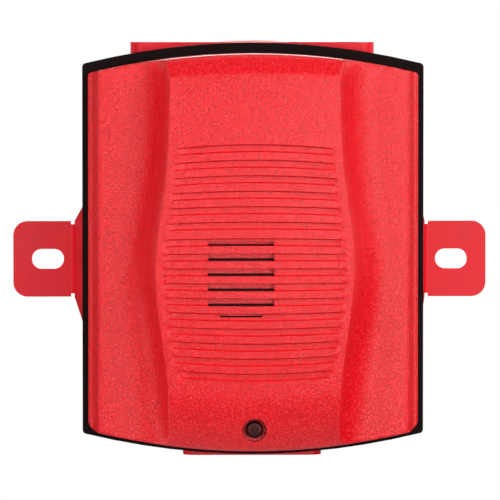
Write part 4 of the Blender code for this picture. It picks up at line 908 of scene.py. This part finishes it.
# ---------------------------------------------------------------- floor, light, camera
LIGHT_DISTANCE, LIGHT_SIZE = 1.1, (0.45, 0.5)
BOUNCE_DISTANCE, BOUNCE_SIZE, BOUNCE_WATTS = 0.56, (1.2, 1.2), 2.4  # a white card below the object
FLOOR_RADIUS, FLOOR_Z, FLOOR_GLOW, WORLD_LIGHT = 6.0, -1.3, 0.8, 0.03
# azimuth from straight in front towards the right, elevation, watts
SOFT_BOXES = {
    "front": (0, 0, 1.4), "front_right": (25, 0, 4.2), "front_left": (-25, 0, 2.4),
    "key_right": (50, 30, 5.5), "side_right": (80, 30, 2.6), "key_left": (-50, 30, 4.0),
    "low_left": (-80, -30, 2.6), "rim_right": (115, 10, 1.8), "rim_left": (-115, 10, 1.2),
    "behind_above": (180, 70, 1.2), "behind": (180, 12, 5.0),
}


def make_floor():
    """A pale disc that only the camera sees, so it neither lights nor shades the object."""
    bm = bmesh.new()
    bmesh.ops.create_circle(bm, cap_ends=True, segments=96, radius=FLOOR_RADIUS)
    floor = add_object("floor", bm)
    floor.location = (0, 0, FLOOR_Z)
    floor.visible_diffuse = floor.visible_glossy = floor.visible_shadow = False
    material, shader = principled("floor_white", (0.86, 0.86, 0.86), 0.7)
    shader.inputs["Emission Color"].default_value = (1, 1, 1, 1)
    shader.inputs["Emission Strength"].default_value = FLOOR_GLOW
    nodes = Nodes(material)
    cloud = nodes.noise(0.8)
    nodes.link(nodes.mix(cloud, (0.84, 0.84, 0.84), (0.88, 0.88, 0.88)), shader.inputs["Base Color"])
    floor.data.materials.append(material)


def look_at(obj, target, azimuth, elevation, distance):
    """Places a lamp or camera facing the target, at degrees to the right of its front and above."""
    a, e = math.radians(azimuth), math.radians(elevation)
    out = Vector((math.sin(a) * math.cos(e), -math.cos(a) * math.cos(e), math.sin(e)))
    obj.location = target + out * distance
    obj.rotation_euler = (-out).to_track_quat("-Z", "Y").to_euler()


def soft_box(name, azimuth, elevation, power, distance=LIGHT_DISTANCE, size=LIGHT_SIZE):
    """A soft box that looks at the middle of the object."""
    light = bpy.data.lights.new(name, "AREA")
    light.shape = "RECTANGLE"
    light.size, light.size_y = size
    light.energy = power
    lamp = bpy.data.objects.new(name, light)
    bpy.context.scene.collection.objects.link(lamp)
    look_at(lamp, at(0, BASE_DEPTH, 0), azimuth, elevation, distance)
    lamp.visible_camera = False


def make_world():
    """White where the camera looks past the object, and a faint light from everywhere."""
    world = bpy.data.worlds.new("studio")
    bpy.context.scene.world = world
    world.use_nodes = True
    tree = world.node_tree
    background = tree.nodes["Background"]
    background.inputs["Color"].default_value = (1, 1, 1, 1)
    shown = tree.nodes.new("ShaderNodeMapRange")
    shown.inputs["To Min"].default_value = WORLD_LIGHT
    paths = tree.nodes.new("ShaderNodeLightPath")
    tree.links.new(paths.outputs["Is Camera Ray"], shown.inputs["Value"])
    tree.links.new(shown.outputs["Result"], background.inputs["Strength"])


def make_camera():
    """A long lens almost square to the wall: a little to the left and a little above."""
    camera = bpy.data.objects.new("camera", bpy.data.cameras.new("camera"))
    bpy.context.scene.collection.objects.link(camera)
    camera.data.lens = 400
    camera.data.sensor_width = 36
    camera.data.clip_end = 20
    look_at(camera, at(-0.00108, BASE_DEPTH, 0.00018), azimuth=-1.3, elevation=3.0, distance=2.0)
    bpy.context.scene.camera = camera


make_floor()
make_world()
for light_name, (light_azimuth, light_elevation, watts) in SOFT_BOXES.items():
    soft_box(light_name, light_azimuth, light_elevation, watts)
soft_box("bounce", 0, -90, BOUNCE_WATTS, BOUNCE_DISTANCE, BOUNCE_SIZE)
make_camera()
bpy.context.scene.view_settings.view_transform = "Standard"
